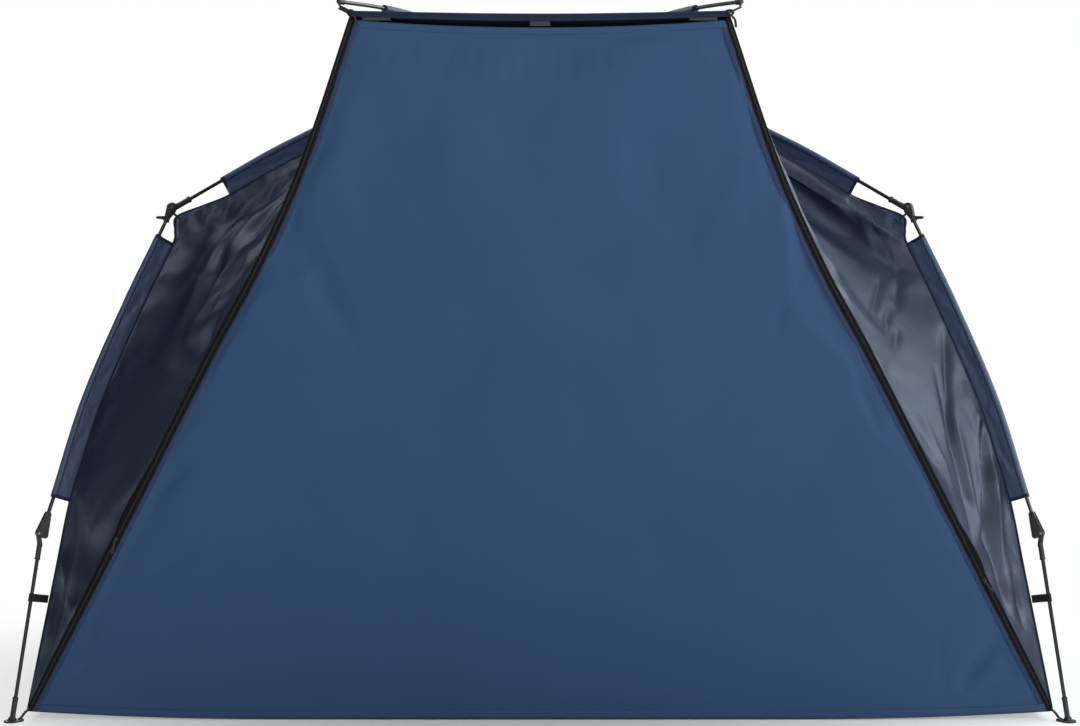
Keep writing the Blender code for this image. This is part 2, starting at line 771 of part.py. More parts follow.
def hinge_mesh():
    """Make the fixed half of a lower leg's hinge: two cheeks, a stop and a pin."""
    pin, joint = upright(LEG_PIN), upright(LEG_JOINT)
    heading = LEG.heading(1.0)
    neck = joint - heading * HINGE_NECK
    seat = joint - heading * HINGE_BORE_SEAT
    body = prism(rounded_outline([(neck.x, neck.z, HINGE_NECK_RADIUS), (pin.x, pin.z, HINGE_EYE),
                                  beside(pin, HINGE_STOP)]), HINGE_HALF)
    slot = prism(rounded_outline([(pin.x, pin.z, SLOT_EYE)] +
                                 [beside(pin, circle) for circle in SLOT_REACH]), SLOT_HALF)
    bore = cylinder(neck - heading * PAST_CUT, seat, TUNNEL_BORE, SOCKET_SIDES)
    across = Vector((0.0, HINGE_HALF - PIN_SINK, 0.0))
    shaft = cylinder(pin - across, pin + across, PIN_RADIUS, SOCKET_SIDES)
    cheeks = solid('cheeks', [body], [slot, bore])
    return solid('leg_hinge', [cheeks, shaft])


def lower_leg_mesh():
    """Make the moving half of the hinge with its rod."""
    pin = upright(LEG_PIN)
    mouth = lower_point(SOCKET_TOP)
    drop, root_radius = TONGUE_ROOT
    tongue = prism(rounded_outline([(pin.x, pin.z, TONGUE_EYE),
                                    (mouth.x, mouth.z + drop, root_radius)]), TONGUE_HALF)
    socket = cylinder(mouth, lower_point(SOCKET_FOOT), FERRULE_RADIUS, FERRULE_SIDES)
    rod = cylinder(lower_point(SOCKET_FOOT + SOCKET_OVERLAP), lower_point(FOOT_ROD_END), ROD_RADIUS,
                   RING_SIDES)
    across = Vector((0.0, PAST_PLATE, 0.0))
    hole = cylinder(pin - across, pin + across, PIN_HOLE, SOCKET_SIDES)
    return solid('lower_leg', [socket, tongue, rod], [hole])


def foot_mesh():
    """Make the foot: a ferrule on a flat plate with a lug for the corner strap."""
    lug_reach, lug_radius = FOOT_LUG
    plate = slab(rounded_outline([(FOOT_REACH, 0.0, FOOT_PLATE_RADIUS),
                                  (FOOT_REACH - lug_reach, 0.0, lug_radius)]), 0.0, FOOT_PLATE)
    ferrule = cylinder(lower_point(FERRULE_FOOT), lower_point(FERRULE_TOP), FERRULE_RADIUS, FERRULE_SIDES)
    bore = cylinder(lower_point(FOOT_ROD_END - FOOT_ROD_SEAT), lower_point(FERRULE_TOP + PAST_CUT),
                    TUNNEL_BORE, FERRULE_SIDES)
    return solid('foot', [plate, ferrule], [bore])


def strap_mesh():
    """Make the webbing that ties the lower rod to the seam: a loop and a tail."""
    middle = lower_point(STRAP_HEIGHT)
    inner = inward(LOWER_HEADING)
    seam_top, seam_foot = RIDGE[-4].seam, RIDGE[-1].seam
    seam_run = (seam_foot - seam_top).normalized()
    square = seam_run.cross(Vector((0.0, 1.0, 0.0)))
    reach = (seam_top - middle).dot(square) / inner.dot(square)
    half = LOWER_HEADING * (STRAP_WIDTH / 2)
    loop = cylinder(middle - half, middle + half, STRAP_RING, FERRULE_SIDES)
    tail_end = middle + inner * (reach - BEAD_RADIUS - STRAP_SEAT)
    corners = [middle - half, middle + half, tail_end + half, tail_end - half]
    tail = prism([(corner.x, corner.z) for corner in corners], STRAP_HALF)
    bore = cylinder(middle - half * 2, middle + half * 2, TUNNEL_BORE, FERRULE_SIDES)
    return solid('leg_strap', [loop, tail], [bore])


def ridge_sleeve_mesh():
    """Make a leg's sleeve with the webbing that runs from its foot to the foot plate."""
    corner = RIDGE[-1].seam
    back, rise = CORNER_STRAP_END
    plate_edge = Vector((FOOT_REACH + back, 0.0, FOOT_PLATE + rise))
    leave = corner.lerp(plate_edge, STRAY_LEAVE)
    return sleeve_mesh('ridge_sleeve', RIDGE + strap_run([leave, plate_edge]))


def awning_sleeve_mesh(side):
    """Make an awning arm's sleeve with the webbing that ties it to the arm's tip."""
    stations = []
    for station in AWNING_RIDGE:
        seam = Vector(station.seam)
        seam.y *= -SIDES[side]
        stations.append(station._replace(seam=seam))
    corner = stations[-1].seam
    back, drop = TIP_STRAP_END
    tip = AWNING.at(1.0) + Vector((back, 0.0, drop - AWNING_CAP_RADIUS))
    leave = corner.lerp(tip, STRAY_LEAVE)
    return sleeve_mesh('awning_sleeve_' + side, stations + strap_run([leave, tip]))


# Assembly

def add(name, mesh, material, azimuth=0.0, pivot=None):
    """Place a piece; a moving one has its origin on its pin."""
    mesh = mesh.copy()
    mesh.name = name
    mesh.materials.clear()
    mesh.materials.append(material)
    mesh.shade_smooth()
    mesh.set_sharp_from_angle(angle=math.radians(35))
    item = bpy.data.objects.new(name, mesh)
    bpy.context.scene.collection.objects.link(item)
    item.rotation_euler.z = azimuth
    if pivot is not None:
        mesh.transform(Matrix.Translation(-pivot))
        item.location = to_world(pivot, azimuth)
    return item


def add_cloth(name, rows, material, thickness=CLOTH, offset=0.0):
    """Place a sheet of cloth with its thickness."""
    item = add(name, cloth_mesh(name, rows), material)
    wall = item.modifiers.new('thickness', 'SOLIDIFY')
    wall.thickness = thickness
    wall.offset = offset
    wall.use_even_offset = True
    wall.use_quality_normals = True
    return item


def build():
    """Build the whole tent."""
    for item in list(bpy.data.objects):
        bpy.data.objects.remove(item, do_unlink=True)
    navy = finish('navy_cloth', (0.030, 0.063, 0.145), 0.75)
    dark = finish('coated_cloth', (0.020, 0.035, 0.075), 0.45)
    floor = finish('groundsheet_cloth', (0.030, 0.034, 0.040), 0.60)
    rod = finish('fibreglass', (0.012, 0.012, 0.013), 0.35)
    plastic = finish('black_plastic', (0.014, 0.014, 0.015), 0.50)
    webbing = finish('black_webbing', (0.016, 0.016, 0.018), 0.85)

    add('hub', hub_mesh(), plastic)
    add('crown_patch', crown_mesh(), navy)

    roof_run = (upright(KNEE) - upright(ROOF_SLEEVE_END)).length
    roof_end = 1.0 - KNEE_ROD_GAP / roof_run * (1.0 - ROOF_SHARES[-1])
    knee_run = (upright(LEG_SLEEVE_TOP) - upright(KNEE)).length
    leg_start = KNEE_ROD_GAP / knee_run * LEG_SHARES[0]
    joint_run = (upright(LEG_JOINT) - upright(LEG_SLEEVE_FOOT)).length
    leg_end = 1.0 - KNEE_ROD_GAP / joint_run * (1.0 - LEG_SHARES[-1])
    roof_pole = rod_mesh('roof_pole', ROOF, [0.0] + ROOF_SHARES + [roof_end])
    upper_leg = rod_mesh('upper_leg', LEG, [leg_start] + LEG_SHARES + [leg_end])
    knee, hinge, lower_leg = knee_mesh(), hinge_mesh(), lower_leg_mesh()
    foot, strap, sleeve = foot_mesh(), strap_mesh(), ridge_sleeve_mesh()
    pin = upright(LEG_PIN)
    for name in CORNERS:
        azimuth = corner_azimuth(name)
        add('roof_pole_' + name, roof_pole, rod, azimuth)
        add('knee_' + name, knee, plastic, azimuth)
        add('upper_leg_' + name, upper_leg, rod, azimuth)
        add('leg_hinge_' + name, hinge, plastic, azimuth)
        add('ridge_sleeve_' + name, sleeve, navy, azimuth)
        add('lower_leg_' + name, lower_leg, rod, azimuth, pin)
        add('foot_' + name, foot, plastic, azimuth, pin)
        add('leg_strap_' + name, strap, webbing, azimuth, pin)

    cap_start = 1.0 - AWNING_CAP_LENGTH / AWNING_REACH
    caps = [(cap_start, AWNING_CAP_RADIUS), (1.0, AWNING_CAP_RADIUS)]
    awning_pole = rod_mesh('awning_pole', AWNING, [0.0] + AWNING_SHARES + [cap_start], caps)
    for side in SIDES:
        azimuth = awning_azimuth(side)
        add('awning_pole_' + side, awning_pole, rod, azimuth)
        add('awning_sleeve_' + side, awning_sleeve_mesh(side), navy, azimuth)
        add_cloth('wing_' + side, wing(side), dark)
        add_cloth('side_wall_' + side, gore('front_' + side, 'rear_' + side, SIDE_COLUMNS, SIDE_HOLLOW),
                  navy)
    add_cloth('rear_wall', gore('rear_left', 'rear_right', REAR_COLUMNS, REAR_HOLLOW), navy)
    add_cloth('canopy', canopy(), navy)
    add_cloth('groundsheet', groundsheet(), floor, SHEET_THICK, 1.0)
    add_cloth('front_door', front_door(), navy)


build()
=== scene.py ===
import logging
import math
from dataclasses import dataclass, field
from enum import Enum
from functools import partial
from typing import Callable, Iterable, Sequence

import bmesh
import bpy
from mathutils import Matrix, Vector, noise
from mathutils.bvhtree import BVHTree
from mathutils.geometry import convex_hull_2d
from mathutils.kdtree import KDTree


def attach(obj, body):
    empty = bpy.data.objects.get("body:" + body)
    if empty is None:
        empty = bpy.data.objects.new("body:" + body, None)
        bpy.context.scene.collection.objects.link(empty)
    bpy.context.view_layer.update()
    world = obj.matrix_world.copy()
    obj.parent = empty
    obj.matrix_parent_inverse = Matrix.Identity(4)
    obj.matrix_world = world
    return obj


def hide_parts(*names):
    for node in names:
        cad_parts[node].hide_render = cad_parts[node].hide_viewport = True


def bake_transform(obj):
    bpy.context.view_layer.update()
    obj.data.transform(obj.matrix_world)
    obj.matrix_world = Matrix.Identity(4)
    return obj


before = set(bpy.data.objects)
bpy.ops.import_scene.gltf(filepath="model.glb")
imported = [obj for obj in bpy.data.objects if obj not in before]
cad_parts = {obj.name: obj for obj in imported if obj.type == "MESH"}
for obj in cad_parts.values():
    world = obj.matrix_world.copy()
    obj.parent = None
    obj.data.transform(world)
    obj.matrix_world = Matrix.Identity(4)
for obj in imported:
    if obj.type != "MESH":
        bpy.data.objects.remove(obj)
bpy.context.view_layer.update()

LOG = logging.getLogger("beach_tent")
UV_NAME = "run"
UP = Vector((0, 0, 1)).freeze()
SIDEWAYS = Vector((0, 1, 0)).freeze()
SHARP_EDGE = math.radians(35)    # an edge past this angle stays sharp
ROW = (0.004, 0.996)    # where a row of stitches starts and ends
Pair = tuple[float, float]
Colour = tuple[float, float, float]


class Corner(Enum):
    """A leg of the tent, by the sides of the plan it stands on."""

    FRONT_LEFT = (-1, -1)
    FRONT_RIGHT = (1, -1)
    REAR_LEFT = (-1, 1)
    REAR_RIGHT = (1, 1)

    @property
    def label(self) -> str:
        """Return the corner's name as the nodes spell it."""
        return self.name.lower()


class Side(Enum):
    """A side of the door."""

    LEFT = -1
    RIGHT = 1

    @property
    def label(self) -> str:
        """Return the side's name as the nodes spell it."""
        return self.name.lower()

    @property
    def front(self) -> Corner:
        """Return the front leg of this side."""
        return Corner((self.value, -1))

    @property
    def rear(self) -> Corner:
        """Return the rear leg of this side."""
        return Corner((self.value, 1))


class Slot(Enum):
    """The material slots that a piece's label names."""

    NAVY = "navy_cloth"
    COATED = "coated_cloth"
    FLOOR = "groundsheet_cloth"
    ROD = "fibreglass"
    PLASTIC = "black_plastic"
    WEBBING = "black_webbing"


# Shader building

class Signal:
    """A shader socket that does arithmetic: each operator adds its Math node."""

    def __init__(self, shader: "Shader", socket: bpy.types.NodeSocket) -> None:
        """Wrap an output socket of a shader."""
        self.shader = shader
        self.socket = socket

    def _math(self, operation: str, first: object, second: object) -> "Signal":
        """Add a Math node on two values or signals."""
        return self.shader.node("ShaderNodeMath", {"operation": operation}, {0: first, 1: second})

    def __add__(self, other: object) -> "Signal":
        """Return this plus other."""
        return self._math("ADD", self, other)

    def __sub__(self, other: object) -> "Signal":
        """Return this minus other."""
        return self._math("SUBTRACT", self, other)

    def __rsub__(self, other: object) -> "Signal":
        """Return other minus this."""
        return self._math("SUBTRACT", other, self)

    def __mul__(self, other: object) -> "Signal":
        """Return this times other."""
        return self._math("MULTIPLY", self, other)

    def __pow__(self, other: object) -> "Signal":
        """Return this to the power of other."""
        return self._math("POWER", self, other)

    __radd__ = __add__
    __rmul__ = __mul__

    def wave(self) -> "Signal":
        """Return the sine of this."""
        return self._math("SINE", self, 0.0)

    def size(self) -> "Signal":
        """Return this without its sign."""
        return self._math("ABSOLUTE", self, 0.0)


class Shader:
    """A Principled material under construction."""

    def __init__(self, name: str) -> None:
        """Start a material with its Principled shader."""
        self.material = bpy.data.materials.new(name)
        self.material.use_nodes = True
        self.tree = self.material.node_tree
        self.base = self.tree.nodes["Principled BSDF"]

    def node(self, kind: str, settings: dict[str, object] | None = None,
             inputs: dict[object, object] | None = None, output: object = 0) -> Signal:
        """Add a node.

        Args:
            kind: The node's type.
            settings: Its properties; "stops" gives a ramp's (position, colour) pairs.
            inputs: Values or signals for its sockets, by name or index.
            output: The output socket to return.

        Returns:
            The chosen output.
        """
        made = self.tree.nodes.new(kind)
        for key, value in (settings or {}).items():
            if key != "stops":
                setattr(made, key, value)
                continue
            ramp = made.color_ramp.elements
            while len(ramp) < len(value):
                ramp.new(0.5)
            for element, (position, colour) in zip(ramp, value):
                element.position = position
                element.color = (*colour, 1.0)
        for key, value in (inputs or {}).items():
            self.feed(made.inputs[key], value)
        return Signal(self, made.outputs[output])

    def feed(self, socket: bpy.types.NodeSocket, value: object) -> None:
        """Link a signal to a socket, or set the socket's value."""
        if isinstance(value, Signal):
            self.tree.links.new(value.socket, socket)
        else:
            socket.default_value = value

    def set(self, **sockets: object) -> None:
        """Set the Principled shader's sockets; an underscore stands for a space."""
        for name, value in sockets.items():
            if isinstance(value, tuple) and len(value) == 3:
                value = (*value, 1.0)
            self.feed(self.base.inputs[name.replace("_", " ")], value)

    def place(self) -> Signal:
        """Return object coordinates."""
        return self.node("ShaderNodeTexCoord", output="Object")

    def run(self, scale: tuple[float, float, float] = (1.0, 1.0, 1.0)) -> Signal:
        """Return the piece's own UV map, in metres, stretched by scale."""
        start = self.node("ShaderNodeUVMap", {"uv_map": UV_NAME})
        return self.node("ShaderNodeMapping", {}, {"Vector": start, "Scale": scale})

    def grain(self, where: Signal, scale: float, detail: float = 3.0, rough: float = 0.5) -> Signal:
        """Return a noise pattern's value, about 0 to 1."""
        return self.node("ShaderNodeTexNoise", {},
                         {"Vector": where, "Scale": scale, "Detail": detail, "Roughness": rough})

    def axis(self, vector: Signal, name: str) -> Signal:
        """Return one part of a vector."""
        return self.node("ShaderNodeSeparateXYZ", {}, {0: vector}, name)

    def blend(self, factor: object, low: Colour, high: Colour) -> Signal:
        """Return a colour between two, by a factor."""
        mixed = self.node("ShaderNodeMix", {"data_type": "RGBA"}, {0: factor}, 2)
        node = mixed.socket.node
        node.inputs[6].default_value = (*low, 1.0)
        node.inputs[7].default_value = (*high, 1.0)
        return mixed

    def bump(self, height: Signal, distance: float, strength: float = 1.0,
             under: Signal | None = None) -> Signal:
        """Return a normal raised by a height, over another normal if one is given."""
        inputs: dict[object, object] = {"Height": height, "Distance": distance, "Strength": strength}
        if under is not None:
            inputs["Normal"] = under
        return self.node("ShaderNodeBump", {}, inputs)


@dataclass(frozen=True)
class ClothFinish:
    """Woven polyester: a fine weave, soft crinkles and slow colour variation."""

    name: str
    colour: Colour
    shade: Colour
    roughness: float
    gloss_change: float = 0.08
    sheen: float = 0.25
    shine: float = 0.45
    tint: Colour = (1.0, 1.0, 1.0)
    crinkle: float = 0.0012
    crease: float = 0.0004
    weave_pitch: float = 0.0011

    def build(self) -> bpy.types.Material:
        """Make the material."""
        shader = Shader(self.name)
        where = shader.place()
        cloud = shader.grain(where, 2.6, 4.0, 0.55)
        fleck = shader.grain(where, 420.0, 2.0, 0.6)
        tone = cloud * 0.7 + fleck * 0.3
        shader.set(Base_Color=shader.blend(tone, self.shade, self.colour))
        rub = shader.grain(where, 9.0, 5.0, 0.6)
        shader.set(Roughness=(rub - 0.5) * (2 * self.gloss_change) + self.roughness)
        shader.set(Sheen_Weight=self.sheen, Sheen_Roughness=0.45, Specular_IOR_Level=self.shine,
                   Specular_Tint=self.tint)
        run = shader.run()
        turn = 2 * math.pi / self.weave_pitch
        warp = (shader.axis(run, "X") * turn).wave()
        weft = (shader.axis(run, "Y") * turn).wave()
        weave = warp * weft
        soft = shader.grain(where, 16.0, 4.0, 0.62)
        sharp = (shader.grain(where, 34.0, 3.0, 0.5) - 0.5).size()
        first = shader.bump(soft, self.crinkle)
        second = shader.bump(sharp, self.crease * 4, 0.5, first)
        shader.set(Normal=shader.bump(weave, 0.00006, 0.35, second))
        return shader.material


@dataclass(frozen=True)
class TapeFinish:
    """Woven tape: ribs across its run."""

    name: str
    colour: Colour
    rib_pitch: float = 0.0016
    depth: float = 0.00035
    sheen: float = 0.12

    def build(self) -> bpy.types.Material:
        """Make the material."""
        shader = Shader(self.name)
        run = shader.run()
        turn = 2 * math.pi / self.rib_pitch
        across = (shader.axis(run, "X") * turn).wave()
        along = (shader.axis(run, "Y") * (turn * 0.5)).wave()
        rib = across * along * 0.5 + 0.5
        dust = shader.grain(shader.place(), 60.0, 4.0, 0.6)
        lit = tuple(min(1.0, part * 2.2 + 0.001) for part in self.colour)
        # Lighter where the ribs stand up, a painted highlight on the rib tops, and lighter where the dust lies.
        shader.set(Base_Color=shader.blend(rib * 0.5 + dust * 0.4, self.colour, lit))
        shader.set(Roughness=0.95 - rib * 0.15, Sheen_Weight=self.sheen, Sheen_Roughness=0.5, Specular_IOR_Level=0.2,
                   Normal=shader.bump(rib, self.depth))
        return shader.material


@dataclass(frozen=True)
class RodFinish:
    """Pultruded rod: near black, satin, with fine streaks along it."""

    name: str
    colour: Colour
    roughness: float = 0.3

    def build(self) -> bpy.types.Material:
        """Make the material."""
        shader = Shader(self.name)
        streak = shader.grain(shader.run((900.0, 14.0, 1.0)), 1.0, 4.0, 0.6)
        cloud = shader.grain(shader.place(), 24.0, 3.0)
        tone = streak * 0.6 + cloud * 0.4
        lit = tuple(part * 1.9 + 0.002 for part in self.colour)
        shader.set(Base_Color=shader.blend(tone, self.colour, lit))
        shader.set(Roughness=streak * 0.18 + (self.roughness - 0.09), Coat_Weight=0.25, Coat_Roughness=0.2,
                   Normal=shader.bump(streak, 0.00012, 0.6))
        return shader.material


@dataclass(frozen=True)
class MouldedFinish:
    """Moulded plastic: a fine spark-eroded grain with rubbed patches."""

    name: str
    colour: Colour
    roughness: float = 0.48

    def build(self) -> bpy.types.Material:
        """Make the material."""
        shader = Shader(self.name)
        where = shader.place()
        grain = shader.grain(where, 1400.0, 2.0, 0.6)
        rub = shader.grain(where, 42.0, 4.0, 0.6)
        lit = tuple(part * 2.0 + 0.008 for part in self.colour)
        shader.set(Base_Color=shader.blend(rub, self.colour, lit))
        shader.set(Roughness=rub * 0.16 + (self.roughness - 0.08),
                   Normal=shader.bump(grain, 0.00018, 0.5))
        return shader.material


@dataclass(frozen=True)
class MetalFinish:
    """Plated steel for pins and rings."""

    name: str
    colour: Colour
    roughness: float = 0.28

    def build(self) -> bpy.types.Material:
        """Make the material."""
        shader = Shader(self.name)
        rub = shader.grain(shader.place(), 160.0, 5.0, 0.7)
        shader.set(Base_Color=shader.blend(rub, self.colour, tuple(part * 0.6 for part in self.colour)))
        shader.set(Metallic=1.0, Roughness=rub * 0.3 + (self.roughness - 0.12),
                   Normal=shader.bump(rub, 0.00008, 0.5))
        return shader.material


Finish = ClothFinish | TapeFinish | RodFinish | MouldedFinish | MetalFinish

DOOR_CLOTH = ClothFinish("door_navy_polyester", (0.027, 0.066, 0.15), (0.0205, 0.051, 0.12), 0.64,
                         sheen=0.03, shine=0.16, crinkle=0.0008, crease=0.0002)
# The zip facing is a real sewn strip; its colour, darker than the door's, is painted shade for the slight fold beside
# the zip.
FACING_CLOTH_PAINTED_SHADE = ClothFinish("zip_facing_polyester", (0.019, 0.036, 0.093), (0.014, 0.027, 0.07), 0.55,
                           sheen=0.03, shine=0.2, crinkle=0.0009)
WALL_CLOTH = ClothFinish("wall_navy_polyester", (0.024, 0.054, 0.124), (0.018, 0.041, 0.096), 0.52,
                         sheen=0.05, shine=0.3, crinkle=0.0011)
SLEEVE_CLOTH = ClothFinish("sleeve_navy_polyester", (0.0335, 0.055, 0.117), (0.024, 0.0405, 0.091), 0.5,
                           sheen=0.05, shine=0.7, tint=(0.8, 0.88, 1.0), crinkle=0.0014, crease=0.0006)
WING_CLOTH = ClothFinish("wing_coated_polyester", (0.006, 0.0125, 0.034), (0.0035, 0.0075, 0.021), 0.5,
                         gloss_change=0.05, sheen=0.0, shine=0.95, tint=(0.68, 0.8, 1.0), crinkle=0.001,
                         crease=0.0004)
FLOOR_CLOTH = ClothFinish("groundsheet_laminate", (0.04, 0.046, 0.056), (0.026, 0.03, 0.038), 0.55,
                          crinkle=0.0008, weave_pitch=0.0022)
# Dark navy binding for the piping, sleeve hems, knee bindings and ground seam; on the canopy's hanging hem the same
# colour is painted shade.
PIPING_AND_SHADE_TAPE = TapeFinish("seam_binding", (0.005, 0.0095, 0.023), 0.0012, 0.0002)
BLACK_TAPE = TapeFinish("black_webbing_tape", (0.0055, 0.0055, 0.006))
# Near-black zip tape; where a flap gapes, the widened wing tape in this colour is painted shade for the dark gap.
ZIP_TAPE = TapeFinish("zip_tape", (0.0012, 0.0012, 0.0018), 0.001, 0.0002, 0.0)
GREY_TAPE = TapeFinish("grey_hook_tape", (0.026, 0.029, 0.034), 0.0018, 0.0006)
BLACK_ROD = RodFinish("black_fibreglass_rod", (0.004, 0.004, 0.0044))
BLACK_PLASTIC = MouldedFinish("black_moulded_plastic", (0.006, 0.006, 0.0066), 0.5)
ZIP_PLASTIC = MouldedFinish("zip_coil_plastic", (0.003, 0.003, 0.0035), 0.45)
PIN_METAL = MetalFinish("pin_steel", (0.42, 0.42, 0.43))
SLIDER_METAL = MetalFinish("slider_dark_metal", (0.06, 0.05, 0.045))
THREAD = MouldedFinish("stitch_thread", (0.018, 0.03, 0.06), 0.6)
BLACK_THREAD = MouldedFinish("black_stitch_thread", (0.02, 0.02, 0.022), 0.6)


class Finishes:
    """Each finish's material, made once when it is first asked for."""

    _made: dict[str, bpy.types.Material] = {}

    @classmethod
    def of(cls, finish: Finish) -> bpy.types.Material:
        """Return a finish's material."""
        if finish.name not in cls._made:
            cls._made[finish.name] = finish.build()
        return cls._made[finish.name]


def added(name: str, data: bpy.types.ID) -> bpy.types.Object:
    """Return a new object with the data given, linked into the scene."""
    made = bpy.data.objects.new(name, data)
    bpy.context.scene.collection.objects.link(made)
    return made


def axes(first: Vector, second: Vector, third: Vector) -> Matrix:
    """Return the turn that takes X, Y and Z to three directions."""
    return Matrix((first, second, third)).transposed().to_4x4()


# Lines and surfaces

def smooth(value: float) -> float:
    """Return a value clamped to 0 to 1 and eased at both ends."""
    value = min(max(value, 0.0), 1.0)
    return value * value * (3 - 2 * value)


def spread(start: float, end: float, count: int) -> list[float]:
    """Return count values from start to end, both included."""
    return [start + (end - start) * index / (count - 1) for index in range(count)]


def graded(values: Sequence[float], share: float) -> float:
    """Return a value between evenly spaced ones, at a share from 0 to 1."""
    place = min(max(share, 0.0), 1.0) * (len(values) - 1)
    index = min(int(place), len(values) - 2)
    return values[index] + (values[index + 1] - values[index]) * smooth(place - index)


class Line:
    """A smooth line through a few points, read by a share from 0 to 1.

    Args:
        points: The points it passes.
        even: True to give each stretch the same part of the share, False to go by length.
    """

    def __init__(self, points: Iterable[Vector], even: bool = False) -> None:
        """Prepare the line's knots and slopes."""
        self.points = [Vector(point) for point in points]
        last = len(self.points) - 1
        steps = [1.0 if even else (far - near).length for near, far in zip(self.points, self.points[1:])]
        total = sum(steps)
        self.knots = [0.0]
        for step in steps:
            self.knots.append(self.knots[-1] + step / total)
        self.slopes = []
        for index in range(last + 1):
            low, high = max(index - 1, 0), min(index + 1, last)
            rise = self.points[high] - self.points[low]
            self.slopes.append(rise / (self.knots[high] - self.knots[low]))

    def at(self, share: float) -> Vector:
        """Return the point at a share."""
        share = min(max(share, 0.0), 1.0)
        piece = 0
        while piece < len(self.points) - 2 and self.knots[piece + 1] <= share:
            piece += 1
        width = self.knots[piece + 1] - self.knots[piece]
        t = (share - self.knots[piece]) / width
        start = self.points[piece] * (2 * t**3 - 3 * t**2 + 1)
        leave = self.slopes[piece] * width * (t**3 - 2 * t**2 + t)
        end = self.points[piece + 1] * (3 * t**2 - 2 * t**3)
        arrive = self.slopes[piece + 1] * width * (t**3 - t**2)
        return start + leave + end + arrive

    def heading(self, share: float) -> Vector:
        """Return the unit tangent at a share."""
        step = 0.002
        return (self.at(share + step) - self.at(share - step)).normalized()

    def share_of(self, pair: Pair) -> float:
        """Return the share at one of the line's own points, given in a rod's plane."""
        return self.knots[self.points.index(upright(pair))]

    def run(self, count: int, start: float = 0.0, end: float = 1.0) -> list[Vector]:
        """Return count points between two shares."""
        return [self.at(share) for share in spread(start, end, count)]


def upright(pair: Pair) -> Vector:
    """Return a (distance, height) pair as a point in a rod's own plane."""
    return Vector((pair[0], 0.0, pair[1]))


def inward(heading: Vector) -> Vector:
    """Return the direction square to a rod's heading, towards the tent's inside."""
    return Vector((heading.z, 0.0, -heading.x))


def measured(line: Sequence[Vector]) -> float:
    """Return the length of a run of points."""
    return sum((far - near).length for near, far in zip(line, line[1:]))


def even_steps(line: Sequence[Vector], pitch: float) -> list[tuple[Vector, Vector]]:
    """Return points at an even pitch along a line.

    Args:
        line: The line's points.
        pitch: The distance between two results.

    Returns:
        Pairs of a point and the line's unit heading there.
    """
    found = []
    ahead = pitch / 2
    for near, far in zip(line, line[1:]):
        reach = (far - near).length
        while ahead < reach:
            found.append((near.lerp(far, ahead / reach), (far - near).normalized()))
            ahead += pitch
        ahead -= reach
    return found


